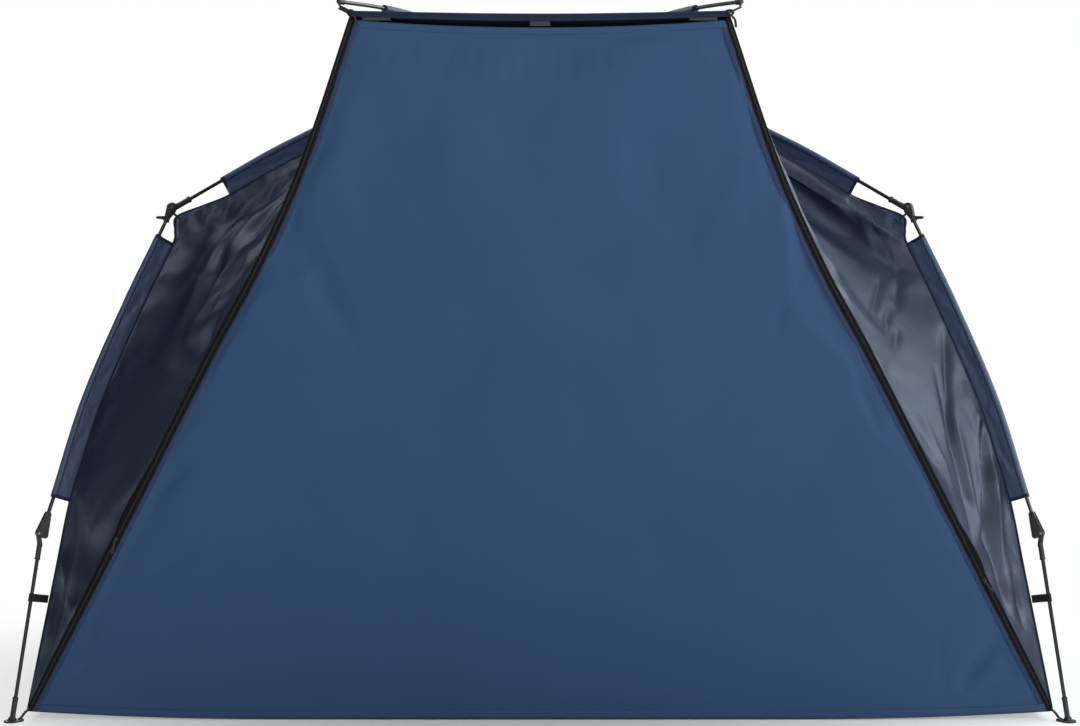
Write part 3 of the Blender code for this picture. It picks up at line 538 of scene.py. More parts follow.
class Plan:
    """The tent's lines, with the sizes of its solids."""

    FOOT = (1.33, 0.85)
    REACH = math.hypot(*FOOT)
    ROD = 0.00475
    SLEEVE_START = (0.084, 1.7555)
    ROOF_SLEEVE_END = (1.013, 1.394)
    KNEE = (1.157, 1.308)
    LEG_SLEEVE_TOP = (1.19, 1.24)
    LEG_SLEEVE_FOOT = (1.4715, 0.562)
    LEG_JOINT = (1.503, 0.4725)
    LEG_PIN = (1.511, 0.4725)
    KNEE_PIN = (1.155, 1.316)
    CROWN_SEAM = (0.08, 1.714)
    KNEE_SEAM = (1.141, 1.291)
    CORNER_SEAM = (1.537, 0.03)
    AWNING_TIP = (0.475, -1.15)
    AWNING_START = (0.084, 1.768)
    AWNING_END = (1.011, 1.7806)
    CANOPY_CORNER = (1.2067, 1.7335)
    CORNER_PULL = 0.014
    FIN = 0.044
    BEAD = 0.003
    ZIP_GAP = 0.0065
    ZIP_POINTS = ((1.01, 0.564), (0.803, 0.948), (0.692, 1.142), (0.574, 1.389))
    DOOR_FOOT_Y = -0.82
    DOOR_LEAN = 0.1744
    DOOR_TOP = 1.717
    DOOR_TOP_DIP = 0.017
    SHEET = (1.297, 0.8215, 0.829)
    SHEET_THICK = 0.003
    CORNER_LIFT = 0.0205
    SHEET_STEP = 0.0009
    STRAP_HEIGHT = 0.31
    CENTRE = Vector((0.0, 0.0, 0.8))
    ROOF = Line(map(upright, ((0.04, 1.76), SLEEVE_START, (0.3, 1.717), (0.55, 1.636), (0.821, 1.505),
                              ROOF_SLEEVE_END, KNEE)))
    LEG = Line(map(upright, (KNEE, LEG_SLEEVE_TOP, (1.276, 1.068), (1.391, 0.809), LEG_SLEEVE_FOOT, LEG_JOINT)))
    AWNING = Line(map(upright, ((0.04, 1.763), AWNING_START, (0.4, 1.793), (0.75, 1.795), AWNING_END,
                                (math.hypot(*AWNING_TIP), 1.755))))
    ROOF_SPAN = (ROOF.share_of(SLEEVE_START), ROOF.share_of(ROOF_SLEEVE_END))
    LEG_SPAN = (LEG.share_of(LEG_SLEEVE_TOP), LEG.share_of(LEG_SLEEVE_FOOT))
    AWNING_SPAN = (AWNING.share_of(AWNING_START), AWNING.share_of(AWNING_END))
    ROOF_END, KNEE_POINT, LEG_TOP, LEG_END = 8, 10, 12, 18    # places along ridge_points()

    @classmethod
    def turn(cls, corner: Corner) -> Matrix:
        """Return the turn from a leg's own plane into the tent's frame."""
        x, y = corner.value
        return Matrix.Rotation(math.atan2(y * cls.FOOT[1], x * cls.FOOT[0]), 4, "Z")

    @classmethod
    def awning_turn(cls, side: Side) -> Matrix:
        """Return the turn from an awning arm's own plane into the tent's frame."""
        return Matrix.Rotation(math.atan2(cls.AWNING_TIP[1], side.value * cls.AWNING_TIP[0]), 4, "Z")

    @classmethod
    def finned(cls, rod: Line, start: float, end: float, count: int) -> list[Vector]:
        """Return the seam of a sleeve's stretch, one fin's width inside its rod."""
        return [rod.at(share) + inward(rod.heading(share)) * cls.FIN for share in spread(start, end, count)]

    @classmethod
    def ridge_points(cls) -> list[Vector]:
        """Return a leg's seam in its own plane, from the crown to the ground."""
        roof = cls.finned(cls.ROOF, *cls.ROOF_SPAN, cls.ROOF_END + 1)
        roof[0] = upright(cls.CROWN_SEAM)
        leg = cls.finned(cls.LEG, *cls.LEG_SPAN, 7)
        knee, corner = upright(cls.KNEE_SEAM), upright(cls.CORNER_SEAM)
        bend = [(roof[-1] + knee) / 2, knee, (leg[0] + knee) / 2]
        return roof + bend + leg + [leg[-1].lerp(corner, share) for share in (1 / 3, 2 / 3, 1.0)]

    @classmethod
    def awning_points(cls, side: Side) -> list[Vector]:
        """Return an awning arm's seam in its own plane, from the crown to the canopy's corner."""
        run = cls.finned(cls.AWNING, *cls.AWNING_SPAN, 8)
        run[0] = upright(cls.CROWN_SEAM)
        corner = upright(cls.CANOPY_CORNER)
        corner.y = -side.value * cls.CORNER_PULL
        return run + [(run[-1] + corner) / 2, corner]

    @classmethod
    def ridge(cls, corner: Corner) -> list[Vector]:
        """Return a leg's seam in the tent's frame."""
        return [cls.turn(corner) @ point for point in cls.ridge_points()]

    @classmethod
    def awning(cls, side: Side) -> list[Vector]:
        """Return an awning arm's seam in the tent's frame."""
        return [cls.awning_turn(side) @ point for point in cls.awning_points(side)]

    @classmethod
    def lower(cls, height: float) -> Vector:
        """Return the point of a lower leg's axis at a height, in the leg's own plane."""
        top, foot = upright(cls.LEG_JOINT), Vector((cls.REACH, 0.0, 0.0))
        return top.lerp(foot, 1 - height / top.z)

    @classmethod
    def zip(cls, side: Side) -> Line:
        """Return the zipped edge from the ground corner to the canopy's corner."""
        middle = [Vector((side.value * half, cls.door_y(height), height)) for half, height in cls.ZIP_POINTS]
        return Line([cls.ridge(side.front)[-1], *middle, cls.awning(side)[-1]])

    @classmethod
    def door_y(cls, height: float) -> float:
        """Return the door's depth at a height."""
        return cls.DOOR_FOOT_Y - cls.DOOR_LEAN * height

    @classmethod
    def lift(cls, x: float, y: float) -> float:
        """Return how far the groundsheet is drawn up at a place."""
        across = min(max(0.0, 2 * abs(x) / cls.SHEET[0] - 1), 1.0)
        along = min(max(0.0, 2 * abs(y) / (cls.SHEET[2] if y > 0 else cls.SHEET[1]) - 1), 1.0)
        return cls.CORNER_LIFT * across**2 * along**2

    @classmethod
    def foot_line(cls, start: Vector, end: Vector) -> Line:
        """Return a wall's bottom edge between two corners, just above the groundsheet."""
        points = [start.lerp(end, share) for share in spread(0.0, 1.0, 9)]
        for point in points[1:-1]:
            point.z = cls.SHEET_THICK + cls.lift(point.x, point.y) + cls.SHEET_STEP
        return Line(points, even=True)

    @staticmethod
    def crown_arc(start: Vector, end: Vector) -> Line:
        """Return the line round the crown from one seam to the next."""
        first = math.atan2(start.y, start.x)
        turn = (math.atan2(end.y, end.x) - first + math.pi) % (2 * math.pi) - math.pi
        points = []
        for share in spread(0.0, 1.0, 7):
            level = start.lerp(end, share)
            radius = start.xy.length * (1 - share) + end.xy.length * share
            angle = first + turn * share
            points.append(Vector((radius * math.cos(angle), radius * math.sin(angle), level.z)))
        return Line(points, even=True)


class Patch:
    """A smooth surface between four edge lines, drawn in at its middle as taut cloth is.

    Args:
        low: The edge at v = 0.
        high: The edge at v = 1.
        left: The edge at u = 0.
        right: The edge at u = 1.
        hollow: How far the middle is drawn towards the tent's inside.
    """

    def __init__(self, low: Line, high: Line, left: Line, right: Line, hollow: float) -> None:
        """Keep the four edges."""
        self.low, self.high, self.left, self.right = low, high, left, right
        self.hollow = hollow

    def at(self, u: float, v: float) -> Vector:
        """Return the surface's point at u across and v up."""
        along = self.low.at(u) * (1 - v) + self.high.at(u) * v
        across = self.left.at(v) * (1 - u) + self.right.at(v) * u
        ends = (self.low.at(0) * (1 - u) + self.low.at(1) * u) * (1 - v)
        ends = ends + (self.high.at(0) * (1 - u) + self.high.at(1) * u) * v
        point = along + across - ends
        pull = (Plan.CENTRE - point).normalized() * self.hollow
        return point + pull * math.sin(math.pi * u) * math.sin(math.pi * v)

    def out(self, u: float, v: float) -> Vector:
        """Return the unit normal that points away from the tent's inside."""
        step = 0.01
        across = self.at(min(u + step, 1), v) - self.at(max(u - step, 0), v)
        along = self.at(u, min(v + step, 1)) - self.at(u, max(v - step, 0))
        normal = across.cross(along).normalized()
        point = self.at(u, v)
        return normal if normal.dot(point - Plan.CENTRE) > 0 else -normal

    def size(self) -> Pair:
        """Return the widest and the longest measure over the surface."""
        wide = max(measured([self.at(u, v) for u in spread(0, 1, 17)]) for v in spread(0, 1, 9))
        tall = max(measured([self.at(u, v) for v in spread(0, 1, 17)]) for u in spread(0, 1, 9))
        return wide, tall


class DoorPatch(Patch):
    """The door's surface: it lies in one leaning plane between the two zips."""

    def __init__(self) -> None:
        """Take the right zip's line as the door's half outline."""
        self.edge = Plan.zip(Side.RIGHT)

    def at(self, u: float, v: float) -> Vector:
        """Return the door's point at u across and v up."""
        point = self.edge.at(v)
        lowest, highest = self.edge.at(0).z, self.edge.at(1).z
        height = lowest + (point.z - lowest) * (Plan.DOOR_TOP - lowest) / (highest - lowest)
        half = point.x - Plan.ZIP_GAP
        share = 2 * u - 1
        foot = Plan.SHEET_THICK + Plan.lift(share * half, -Plan.SHEET[1]) + Plan.SHEET_STEP
        drop = (lowest - foot) * (1 - v) + Plan.DOOR_TOP_DIP * (1 - share**2) * v
        level = height - drop
        return Vector((share * half, Plan.door_y(level), level))


class SheetPatch(Patch):
    """The groundsheet's surface."""

    def __init__(self) -> None:
        """Nothing to keep: the plan gives the shape."""

    def at(self, u: float, v: float) -> Vector:
        """Return the groundsheet's point at u across and v back."""
        x = Plan.SHEET[0] * (2 * u - 1)
        y = -Plan.SHEET[1] + (Plan.SHEET[1] + Plan.SHEET[2]) * v
        return Vector((x, y, Plan.lift(x, y) + 0.0016))

    def out(self, u: float, v: float) -> Vector:
        """Return straight up."""
        return UP


# Mesh building

class Maker:
    """A mesh under construction, with a UV map in metres along its run."""

    def __init__(self) -> None:
        """Start an empty mesh."""
        self.bm = bmesh.new()
        self.uv = self.bm.loops.layers.uv.new(UV_NAME)

    def sweep(self, line: Sequence[Vector], outline: Sequence[Pair], side: Callable[[int], Vector],
              scale: Callable[[float], float] | None = None, capped: bool = True) -> None:
        """Extrude a closed outline along a line.

        Args:
            line: The points to pass.
            outline: The section, as (across, out) offsets.
            side: Gives the across direction at each point's index.
            scale: Gives the section's size at a share of the line.
            capped: True to close both ends.
        """
        ring: list[bmesh.types.BMVert] = []
        travelled = 0.0
        last = len(line) - 1
        girth = [0.0]
        for near, far in zip(outline, [*outline[1:], outline[0]]):
            girth.append(girth[-1] + math.dist(near, far))
        for index, point in enumerate(line):
            heading = (line[min(index + 1, last)] - line[max(index - 1, 0)]).normalized()
            across = side(index)
            across = (across - heading * across.dot(heading)).normalized()
            out = across.cross(heading)
            size = scale(index / last) if scale else 1.0
            places = [point + (across * wide + out * rise) * size for wide, rise in outline]
            if index == 0:
                ring = [self.bm.verts.new(place) for place in places]
                first = self.bm.faces.new(ring)
                edges = list(first.edges)
                if not capped:
                    self.bm.faces.remove(first)
                continue
            before = travelled
            travelled += (point - line[index - 1]).length
            grown = bmesh.ops.extrude_edge_only(self.bm, edges=edges)["geom"]
            order = {vertex: number for number, vertex in enumerate(ring)}
            new_ring: list[bmesh.types.BMVert | None] = [None] * len(ring)
            for vertex in (item for item in grown if isinstance(item, bmesh.types.BMVert)):
                for edge in vertex.link_edges:
                    number = order.get(edge.other_vert(vertex))
                    if number is not None:
                        new_ring[number] = vertex
            for vertex, place in zip(new_ring, places):
                vertex.co = place
            self._chart(grown, order, {v: n for n, v in enumerate(new_ring)}, girth, before, travelled)
            edges = [item for item in grown if isinstance(item, bmesh.types.BMEdge)
                     and item.verts[0] in new_ring and item.verts[1] in new_ring]
            ring = new_ring
        if capped:
            self.bm.faces.new(ring)

    def _chart(self, grown: list, near: dict, far: dict, girth: list[float], low: float, high: float) -> None:
        """Give the faces of one extruded ring their place on the UV map."""
        count = len(near)
        for face in (item for item in grown if isinstance(item, bmesh.types.BMFace)):
            numbers = {near.get(loop.vert, far.get(loop.vert)) for loop in face.loops}
            wraps = 0 in numbers and count - 1 in numbers
            for loop in face.loops:
                number = near.get(loop.vert, far.get(loop.vert))
                number = count if wraps and number == 0 else number
                loop[self.uv].uv = (girth[number], low if loop.vert in near else high)

    def tube(self, line: Sequence[Vector], radius: float, sides: int = 16, side: Vector = SIDEWAYS,
             scale: Callable[[float], float] | None = None) -> None:
        """Sweep a round section along a line.

        Args:
            line: The points to pass.
            radius: The section's radius.
            sides: The section's number of sides.
            side: A direction that the section's first point keeps to.
            scale: Gives the section's size at a share of the line.
        """
        angles = [2 * math.pi * step / sides for step in range(sides)]
        outline = [(radius * math.cos(angle), radius * math.sin(angle)) for angle in angles]
        self.sweep(line, outline, lambda index: side, scale)

    def band(self, line: Sequence[Vector], wide: float, thick: float, side: Callable[[int], Vector]) -> None:
        """Sweep a flat tape with rounded edges along a line."""
        half, lip = wide / 2, thick / 2
        ease = min(lip, half) * 0.6
        outline = [(-half, -lip + ease), (-half + ease, -lip), (half - ease, -lip), (half, -lip + ease),
                   (half, lip - ease), (half - ease, lip), (-half + ease, lip), (-half, lip - ease)]
        self.sweep(line, outline, side)

    def grid(self, columns: int, rows: int, place: Callable[[float, float], Vector], size: Pair) -> None:
        """Lay a grid on a surface, with its UV map in metres."""
        made = bmesh.ops.create_grid(self.bm, x_segments=columns, y_segments=rows, size=1.0)["verts"]
        shares = {vertex: ((vertex.co.x + 1) / 2, (vertex.co.y + 1) / 2) for vertex in made}
        for vertex, (u, v) in shares.items():
            vertex.co = place(u, v)
        for face in {face for vertex in made for face in vertex.link_faces}:
            for loop in face.loops:
                u, v = shares[loop.vert]
                loop[self.uv].uv = (u * size[0], v * size[1])

    def turned(self, profile: Sequence[Pair], start: Vector, axis: Vector, steps: int = 24) -> None:
        """Spin a profile about an axis.

        Args:
            profile: (radius, distance along the axis) pairs; its ends are closed where they reach radius 0.
            start: The axis's start.
            axis: The axis's direction.
            steps: The number of steps round.
        """
        turn = axis.to_track_quat("Z", "Y").to_matrix().to_4x4()
        place = Matrix.Translation(start) @ turn
        path = [self.bm.verts.new(place @ Vector((radius, 0.0, height))) for radius, height in profile]
        edges = [self.bm.edges.new(pair) for pair in zip(path, path[1:])]
        bmesh.ops.spin(self.bm, geom=path + edges, cent=start, axis=axis.normalized(), dvec=(0, 0, 0),
                       angle=2 * math.pi, steps=steps, use_merge=True)
        bmesh.ops.remove_doubles(self.bm, verts=self.bm.verts, dist=0.00001)

    def plate(self, outline: Sequence[Pair], half: float, bevel: float = 0.001, segments: int = 3) -> None:
        """Make a plate with rounded edges of an outline in a rod's plane, half to each side of it."""
        rim = [self.bm.verts.new((distance, -half, height)) for distance, height in outline]
        face = self.bm.faces.new(rim)
        grown = bmesh.ops.extrude_face_region(self.bm, geom=[face])["geom"]
        moved = [item for item in grown if isinstance(item, bmesh.types.BMVert)]
        bmesh.ops.translate(self.bm, verts=moved, vec=(0.0, 2 * half, 0.0))
        around = [edge for edge in {edge for vertex in rim + moved for edge in vertex.link_edges}
                  if abs(edge.verts[0].co.y - edge.verts[1].co.y) < half]
        bmesh.ops.bevel(self.bm, geom=around, offset=bevel, offset_type="OFFSET", affect="EDGES",
                        segments=segments, profile=0.5, material=-1)

    def stitches(self, line: Sequence[Vector], normal: Vector, pitch: float = 0.0042, reach: float = 0.0008,
                 thick: float = 0.0009) -> None:
        """Lay a row of stitches along a line.

        Args:
            line: The row's points.
            normal: The cloth's normal.
            pitch: The distance from stitch to stitch.
            reach: Each stitch's size square to the cloth.
            thick: Each stitch's size along the cloth, across the row.
        """
        size = Matrix.Diagonal((pitch * 0.34, thick / 2, reach / 2, 1.0))
        places = []
        for point, heading in even_steps(line, pitch):
            out = (normal - heading * normal.dot(heading)).normalized()
            places.append(Matrix.Translation(point) @ axes(heading, heading.cross(out), out) @ size)
        self.repeat(partial(bmesh.ops.create_uvsphere, u_segments=4, v_segments=2, radius=1.0), places)

    def repeat(self, make: Callable[..., object], places: Sequence[Matrix], batch: int = 24) -> None:
        """Repeat a small shape at many places.

        Args:
            make: The mesh operator that makes the shape.
            places: The shape's placements.
            batch: How many are made at a time, since an operator slows down as its mesh grows.
        """
        part, mesh = bmesh.new(), bpy.data.meshes.new("batch")
        for number, place in enumerate(places, 1):
            make(part, matrix=place)
            if number % batch == 0 or number == len(places):
                part.to_mesh(mesh)
                self.bm.from_mesh(mesh)
                part.clear()
        part.free()
        bpy.data.meshes.remove(mesh)
        self.uv = self.bm.loops.layers.uv[UV_NAME]

    def join(self, part: "Maker") -> None:
        """Add another mesh under construction to this one."""
        mesh = bpy.data.meshes.new("part")
        part.bm.to_mesh(mesh)
        part.bm.free()
        self.bm.from_mesh(mesh)
        bpy.data.meshes.remove(mesh)

    def moved(self, place: Matrix) -> "Maker":
        """Apply a placement to everything made so far."""
        bmesh.ops.transform(self.bm, matrix=place, verts=self.bm.verts)
        return self


@dataclass(frozen=True)
class Label:
    """What a finished piece is called, what it moves with and what it stands for.

    Args:
        name: The piece's name.
        body: The body it moves with.
        slot: Its material slot; not used.
        stands_for: The nodes that it replaces.
        bend: The points where a bend between the root and its body would start and end; a piece that has them is only
            baked in place and attached to no body.
    """

    name: str
    body: str = "root"
    slot: Slot = Slot.PLASTIC
    stands_for: tuple[str, ...] = ()
    bend: tuple[Vector, ...] = ()


def publish(maker: Maker, label: Label, finish: Finish) -> bpy.types.Object:
    """Turn a made mesh into a finished piece.

    Args:
        maker: The mesh.
        label: The piece's name, body, slot and replaced nodes.
        finish: The finish to dress it in.

    Returns:
        The piece.
    """
    bmesh.ops.recalc_face_normals(maker.bm, faces=maker.bm.faces)
    mesh = bpy.data.meshes.new(label.name)
    maker.bm.to_mesh(mesh)
    maker.bm.free()
    mesh.shade_smooth()
    mesh.set_sharp_from_angle(angle=SHARP_EDGE)
    return register(added(label.name, mesh), label, finish)


def register(piece: bpy.types.Object, label: Label, finish: Finish) -> bpy.types.Object:
    """Args:
        piece: The piece.
        label: The piece's name, body, slot and replaced nodes.
        finish: The finish to dress it in.

    Returns:
        The piece.
    """
    piece.data.materials.clear()
    piece.data.materials.append(Finishes.of(finish))
    if label.bend:
        label.body
        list(label.bend)
        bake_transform(piece)
    else:
        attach(piece, label.body)
    if label.stands_for:
        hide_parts(*label.stands_for)
    LOG.info("%s: %d faces on %s", label.name, len(piece.data.polygons), label.body)
    return piece


def thicken(piece: bpy.types.Object, thick: float) -> bpy.types.Object:
    """Give a sheet its thickness, half to each side.

    Args:
        piece: The sheet.
        thick: Its thickness.

    Returns:
        The sheet.
    """
    wall = piece.modifiers.new("thickness", "SOLIDIFY")
    wall.thickness = thick
    wall.offset = 0.0
    return piece


# Cloth

@dataclass(frozen=True)
class Crease:
    """One designed fold, placed on a panel's flat view.

    The view is (across, height) in metres: X and Z for the front panels, Y and Z for the side walls.
    """

    start: Pair
    end: Pair
    width: float
    height: float
    crisp: float = 2.0

    def rise(self, place: Pair) -> float:
        """Return how far the fold stands out at a place of the view."""
        start, end, here = Vector(self.start), Vector(self.end), Vector(place)
        along = end - start
        share = (here - start).dot(along) / along.length_squared
        if not 0.0 < share < 1.0:
            return 0.0
        away = (here - start - along * share).length / self.width
        if away > 4.0:
            return 0.0
        return self.height * math.exp(-away**self.crisp) * math.sin(math.pi * share)**0.6


def creased(*rows: tuple[float, ...]) -> tuple[Crease, ...]:
    """Return creases from rows of start, end, width, height and, for some, crispness."""
    return tuple(Crease(row[:2], row[2:4], *row[4:]) for row in rows)


@dataclass(frozen=True)
class Fold:
    """A long gathered fold that follows a curved path over a panel.

    Args:
        path: The points it passes, as (u, v) on the panel's surface.
        heights: How far it stands out, at even steps from the path's start to its end.
        widths: Its half width, at the same steps.
        crisp: How sharp its ridge is.
    """

    path: tuple[Pair, ...]
    heights: tuple[float, ...]
    widths: tuple[float, ...]
    crisp: float = 1.6

    def laid(self, patch: Patch) -> Callable[[Vector], float]:
        """Return a function that gives how far the fold stands out at a point of the panel."""
        count = 240
        tree = KDTree(count)
        for index, point in enumerate(Line([patch.at(u, v) for u, v in self.path]).run(count)):
            tree.insert(point, index)
        tree.balance()

        def rise(point: Vector) -> float:
            """Return the fold's height at a point."""
            index, away = tree.find(point)[1:]
            share = index / (count - 1)
            return graded(self.heights, share) * math.exp(-(away / graded(self.widths, share))**self.crisp)

        return rise


@dataclass(frozen=True)
class Crinkle:
    """A field of small folds that all run one way."""

    along: float
    across: float
    angle: float
    height: float
    seed: float = 0.0
    ridged: bool = False

    def rise(self, place: Pair) -> float:
        """Return how far the cloth stands out at a place of the view."""
        angle = math.radians(self.angle)
        run = place[0] * math.cos(angle) + place[1] * math.sin(angle)
        side = place[1] * math.cos(angle) - place[0] * math.sin(angle)
        value = noise.noise(Vector((run / self.along, side / self.across, self.seed)))
        if self.ridged:
            value = (0.35 - abs(value)) * 1.6
        return self.height * value


class Facing(Enum):
    """The two axes of a panel's flat view."""

    FRONT = (0, 2)
    SIDE = (1, 2)
    TOP = (0, 1)

    def view(self, point: Vector) -> Pair:
        """Return a point's place in the view."""
        return point[self.value[0]], point[self.value[1]]


@dataclass
class Panel:
    """A sheet of cloth sewn in between its seams: draped, creased and given its thickness."""

    label: Label
    patch: Patch
    finish: ClothFinish
    cells: tuple[int, int]
    facing: Facing = Facing.FRONT
    creases: tuple[Crease, ...] = ()
    crinkles: tuple[Crinkle, ...] = ()
    folds: tuple[Fold, ...] = ()
    spare: float = 0.006
    limit: float = 0.018
    thick: float = 0.0008
    frames: int = 14
    edge_fade: float = 0.03
    flat_edge: float = 0.0
    calm_cells: float = 1.0
    held: str = "stretched"
    rests_on: tuple[str, ...] = ()
    with_pieces: list[bpy.types.Object] = field(default_factory=list)
    patches: tuple["KneePatch", ...] = ()
    headroom: Callable[[Vector], float] | None = None

    def build(self) -> bpy.types.Object:
        """Make the panel's piece."""
        wide, tall = self.patch.size()
        maker = Maker()
        maker.grid(*self.cells, self.patch.at, (wide, tall))
        area = sum(face.calc_area() for face in maker.bm.faces)
        piece = self._piece(maker)
        if self.frames:
            self._drape(piece)
        self._refine(piece)
        self._crease(piece, wide, tall)
        sewn_on = [patch.build(piece) for patch in self.patches]
        register(thicken(piece, self.thick), self.label, self.finish)
        list(self.rests_on)
        list(self.with_pieces)
        LOG.info("%s: cut %.2f by %.2f m, %.2f square metres", self.label.name, wide, tall, area)
        return piece

    def _piece(self, maker: Maker) -> bpy.types.Object:
        """Turn the grid into an object with its outer side up."""
        mesh = bpy.data.meshes.new(self.label.name)
        normal = self.patch.out(0.5, 0.5)
        maker.bm.faces.ensure_lookup_table()
        middle = maker.bm.faces[len(maker.bm.faces) // 2]
        middle.normal_update()
        if middle.normal.dot(normal) < 0:
            bmesh.ops.reverse_faces(maker.bm, faces=maker.bm.faces)
        maker.bm.to_mesh(mesh)
        maker.bm.free()
        mesh.shade_smooth()
        return added(self.label.name, mesh)

    def _drape(self, piece: bpy.types.Object) -> None:
        """Let the cloth settle between its sewn edges, with a little spare length."""
        rest = [vertex.co.copy() for vertex in piece.data.vertices]
        columns, rows = self.cells
        sewn = piece.vertex_groups.new(name="sewn")
        rim = [index for index in range(len(rest))
               if index % (columns + 1) in (0, columns) or index // (columns + 1) in (0, rows)]
        sewn.add(rim, 1.0, "REPLACE")
        cloth = piece.modifiers.new("drape", "CLOTH")
        settings = cloth.settings
        settings.quality = 5
        settings.mass = 0.12
        settings.tension_stiffness = 18.0
        settings.compression_stiffness = 6.0
        settings.shear_stiffness = 6.0
        settings.bending_stiffness = 0.25
        settings.vertex_group_mass = "sewn"
        settings.shrink_min = -self.spare
        settings.effector_weights.gravity = 0.35
        cloth.collision_settings.use_collision = False
        cloth.point_cache.frame_start = 1
        cloth.point_cache.frame_end = self.frames
        scene = bpy.context.scene
        for frame_number in range(1, self.frames + 1):
            scene.frame_set(frame_number)
        draped = piece.evaluated_get(bpy.context.evaluated_depsgraph_get()).data
        for index, (vertex, start, moved) in enumerate(zip(piece.data.vertices, rest, draped.vertices)):
            from_edge = min(index % (columns + 1), columns - index % (columns + 1),
                            index // (columns + 1), rows - index // (columns + 1))
            shift = (moved.co - start) * smooth(from_edge / self.calm_cells)
            if shift.length > self.limit:
                shift *= self.limit / shift.length
            vertex.co = start + shift
        piece.modifiers.remove(cloth)
        scene.frame_set(1)

    def _refine(self, piece: bpy.types.Object) -> None:
        """Subdivide the settled cloth once, smoothly."""
        finer = piece.modifiers.new("finer", "SUBSURF")
        finer.levels = finer.render_levels = 1
        finer.boundary_smooth = "PRESERVE_CORNERS"
        depsgraph = bpy.context.evaluated_depsgraph_get()
        shaped = piece.evaluated_get(depsgraph)
        mesh = bpy.data.meshes.new_from_object(shaped, preserve_all_data_layers=True, depsgraph=depsgraph)
        piece.modifiers.clear()
        piece.vertex_groups.clear()
        piece.data = mesh
        mesh.shade_smooth()

    def _crease(self, piece: bpy.types.Object, wide: float, tall: float) -> None:
        """Raise the designed folds and crinkles, which fade out at the sewn edges."""
        mesh = piece.data
        chart = mesh.uv_layers[UV_NAME].uv
        places = {loop.vertex_index: chart[loop.index].vector for loop in mesh.loops}
        folds = [fold.laid(self.patch) for fold in self.folds]
        shifts = []
        for vertex in mesh.vertices:
            x, y = places[vertex.index]
            near = min(x, wide - x, y, tall - y)
            fade = smooth((near - self.flat_edge) / self.edge_fade)
            here = self.facing.view(vertex.co)
            rise = sum(part.rise(here) for part in (*self.creases, *self.crinkles))
            rise += sum(fold(vertex.co) for fold in folds)
            shifts.append(vertex.normal * (rise * fade))
        for vertex, shift in zip(mesh.vertices, shifts):
            vertex.co += shift
        if self.headroom:
            self._hold_in(mesh)

    def _hold_in(self, mesh: bpy.types.Mesh, ease: float = 0.0015) -> None:
        """Ease back what stands out further than the panel's headroom."""
        normal = self.patch.out(0.5, 0.5)
        for vertex in mesh.vertices:
            room = min(max(self.headroom(vertex.co), -0.05), 0.05)
            vertex.co -= normal * ease * math.log1p(math.exp(-room / ease))


@dataclass(frozen=True)
class KneePatch:
    """A doubled piece of cloth sewn on a panel beside a knee.

    Args:
        name: The piece's name.
        patch: The panel's surface.
        spot: Gives (u, v) on that surface at a share across and a share along the piece.
    """

    name: str
    patch: Patch
    spot: Callable[[float, float], Pair]
    lift: float = 0.0014
    thick: float = 0.001

    def build(self, under: bpy.types.Object) -> bpy.types.Object:
        """Lay the piece on its finished panel and stitch its free edge."""
        tree = BVHTree.FromObject(under, bpy.context.evaluated_depsgraph_get())

        def place(a: float, b: float) -> Vector:
            """Return a point of the piece, just above the panel's cloth."""
            u, v = self.spot(a, b)
            point = self.patch.at(u, v)
            found = tree.find_nearest(point)[0]
            return found + self.patch.out(u, v) * self.lift

        maker = Maker()
        maker.grid(14, 28, place, (0.05, 0.15))
        piece = thicken(publish(maker, Label(self.name, "root", Slot.NAVY), SLEEVE_CLOTH), self.thick)
        rows = Maker()
        out = self.patch.out(*self.spot(0.5, 0.5))
        rows.stitches([place(0.93, b) + out * 0.0007 for b in spread(0.06, 0.97, 40)], out, 0.0044)
        publish(rows, Label(self.name + "_stitches", "root", Slot.NAVY), THREAD)
        return piece


class Edge(Enum):
    """An edge of a patch."""

    LOW = "low"
    HIGH = "high"
    LEFT = "left"
    RIGHT = "right"

    def share(self, along: float, deep: float) -> Pair:
        """Return (u, v) at a share along this edge and a depth into the patch."""
        return {Edge.LOW: (along, deep), Edge.HIGH: (along, 1 - deep),
                Edge.LEFT: (deep, along), Edge.RIGHT: (1 - deep, along)}[self]


@dataclass(frozen=True)
class Tape:
    """A strip sewn along a panel's edge."""

    label: Label
    patch: Patch
    edge: Edge
    finish: Finish
    reach: float
    start: float = 0.0
    lift: float = 0.0009
    thick: float = 0.0008
    count: int = 90
    ripple: float = 0.0005

    def place(self, across: float, along: float) -> Vector:
        """Return the strip's point at a share across it and a share along it."""
        step = 0.02
        unit = (self.patch.at(*self.edge.share(along, step)) - self.patch.at(*self.edge.share(along, 0))).length
        deep = (self.start + (self.reach - self.start) * across) * step / max(unit, 0.001)
        u, v = self.edge.share(along, deep)
        wave = noise.noise(Vector((along * 40, across * 2, self.reach * 900))) * self.ripple
        return self.patch.at(u, v) + self.patch.out(u, v) * (self.lift + wave)

    def build(self) -> bpy.types.Object:
        """Make the strip."""
        maker = Maker()
        length = measured([self.place(0.5, share) for share in spread(0, 1, 20)])
        maker.grid(4, self.count, self.place, (self.reach - self.start, length))
        return thicken(publish(maker, self.label, self.finish), self.thick)

    def row(self, across: float) -> list[Vector]:
        """Return a line of points along the strip, just over its outer side."""
        return [self.place(across, along) + self.patch.out(*self.edge.share(along, 0.01)) * (self.thick / 2)
                for along in spread(*ROW, 50)]

    def stitched(self, label: Label, thread: Finish, rows: Sequence[float]) -> bpy.types.Object:
        """Sew rows of stitches along the strip.

        Args:
            label: The stitches' label.
            thread: The thread's finish.
            rows: Each row's share across the strip.

        Returns:
            The stitches.
        """
        maker = Maker()
        out = self.patch.out(0.5, 0.5)
        for across in rows:
            maker.stitches(self.row(across), out)
        return publish(maker, label, thread)


# Frame

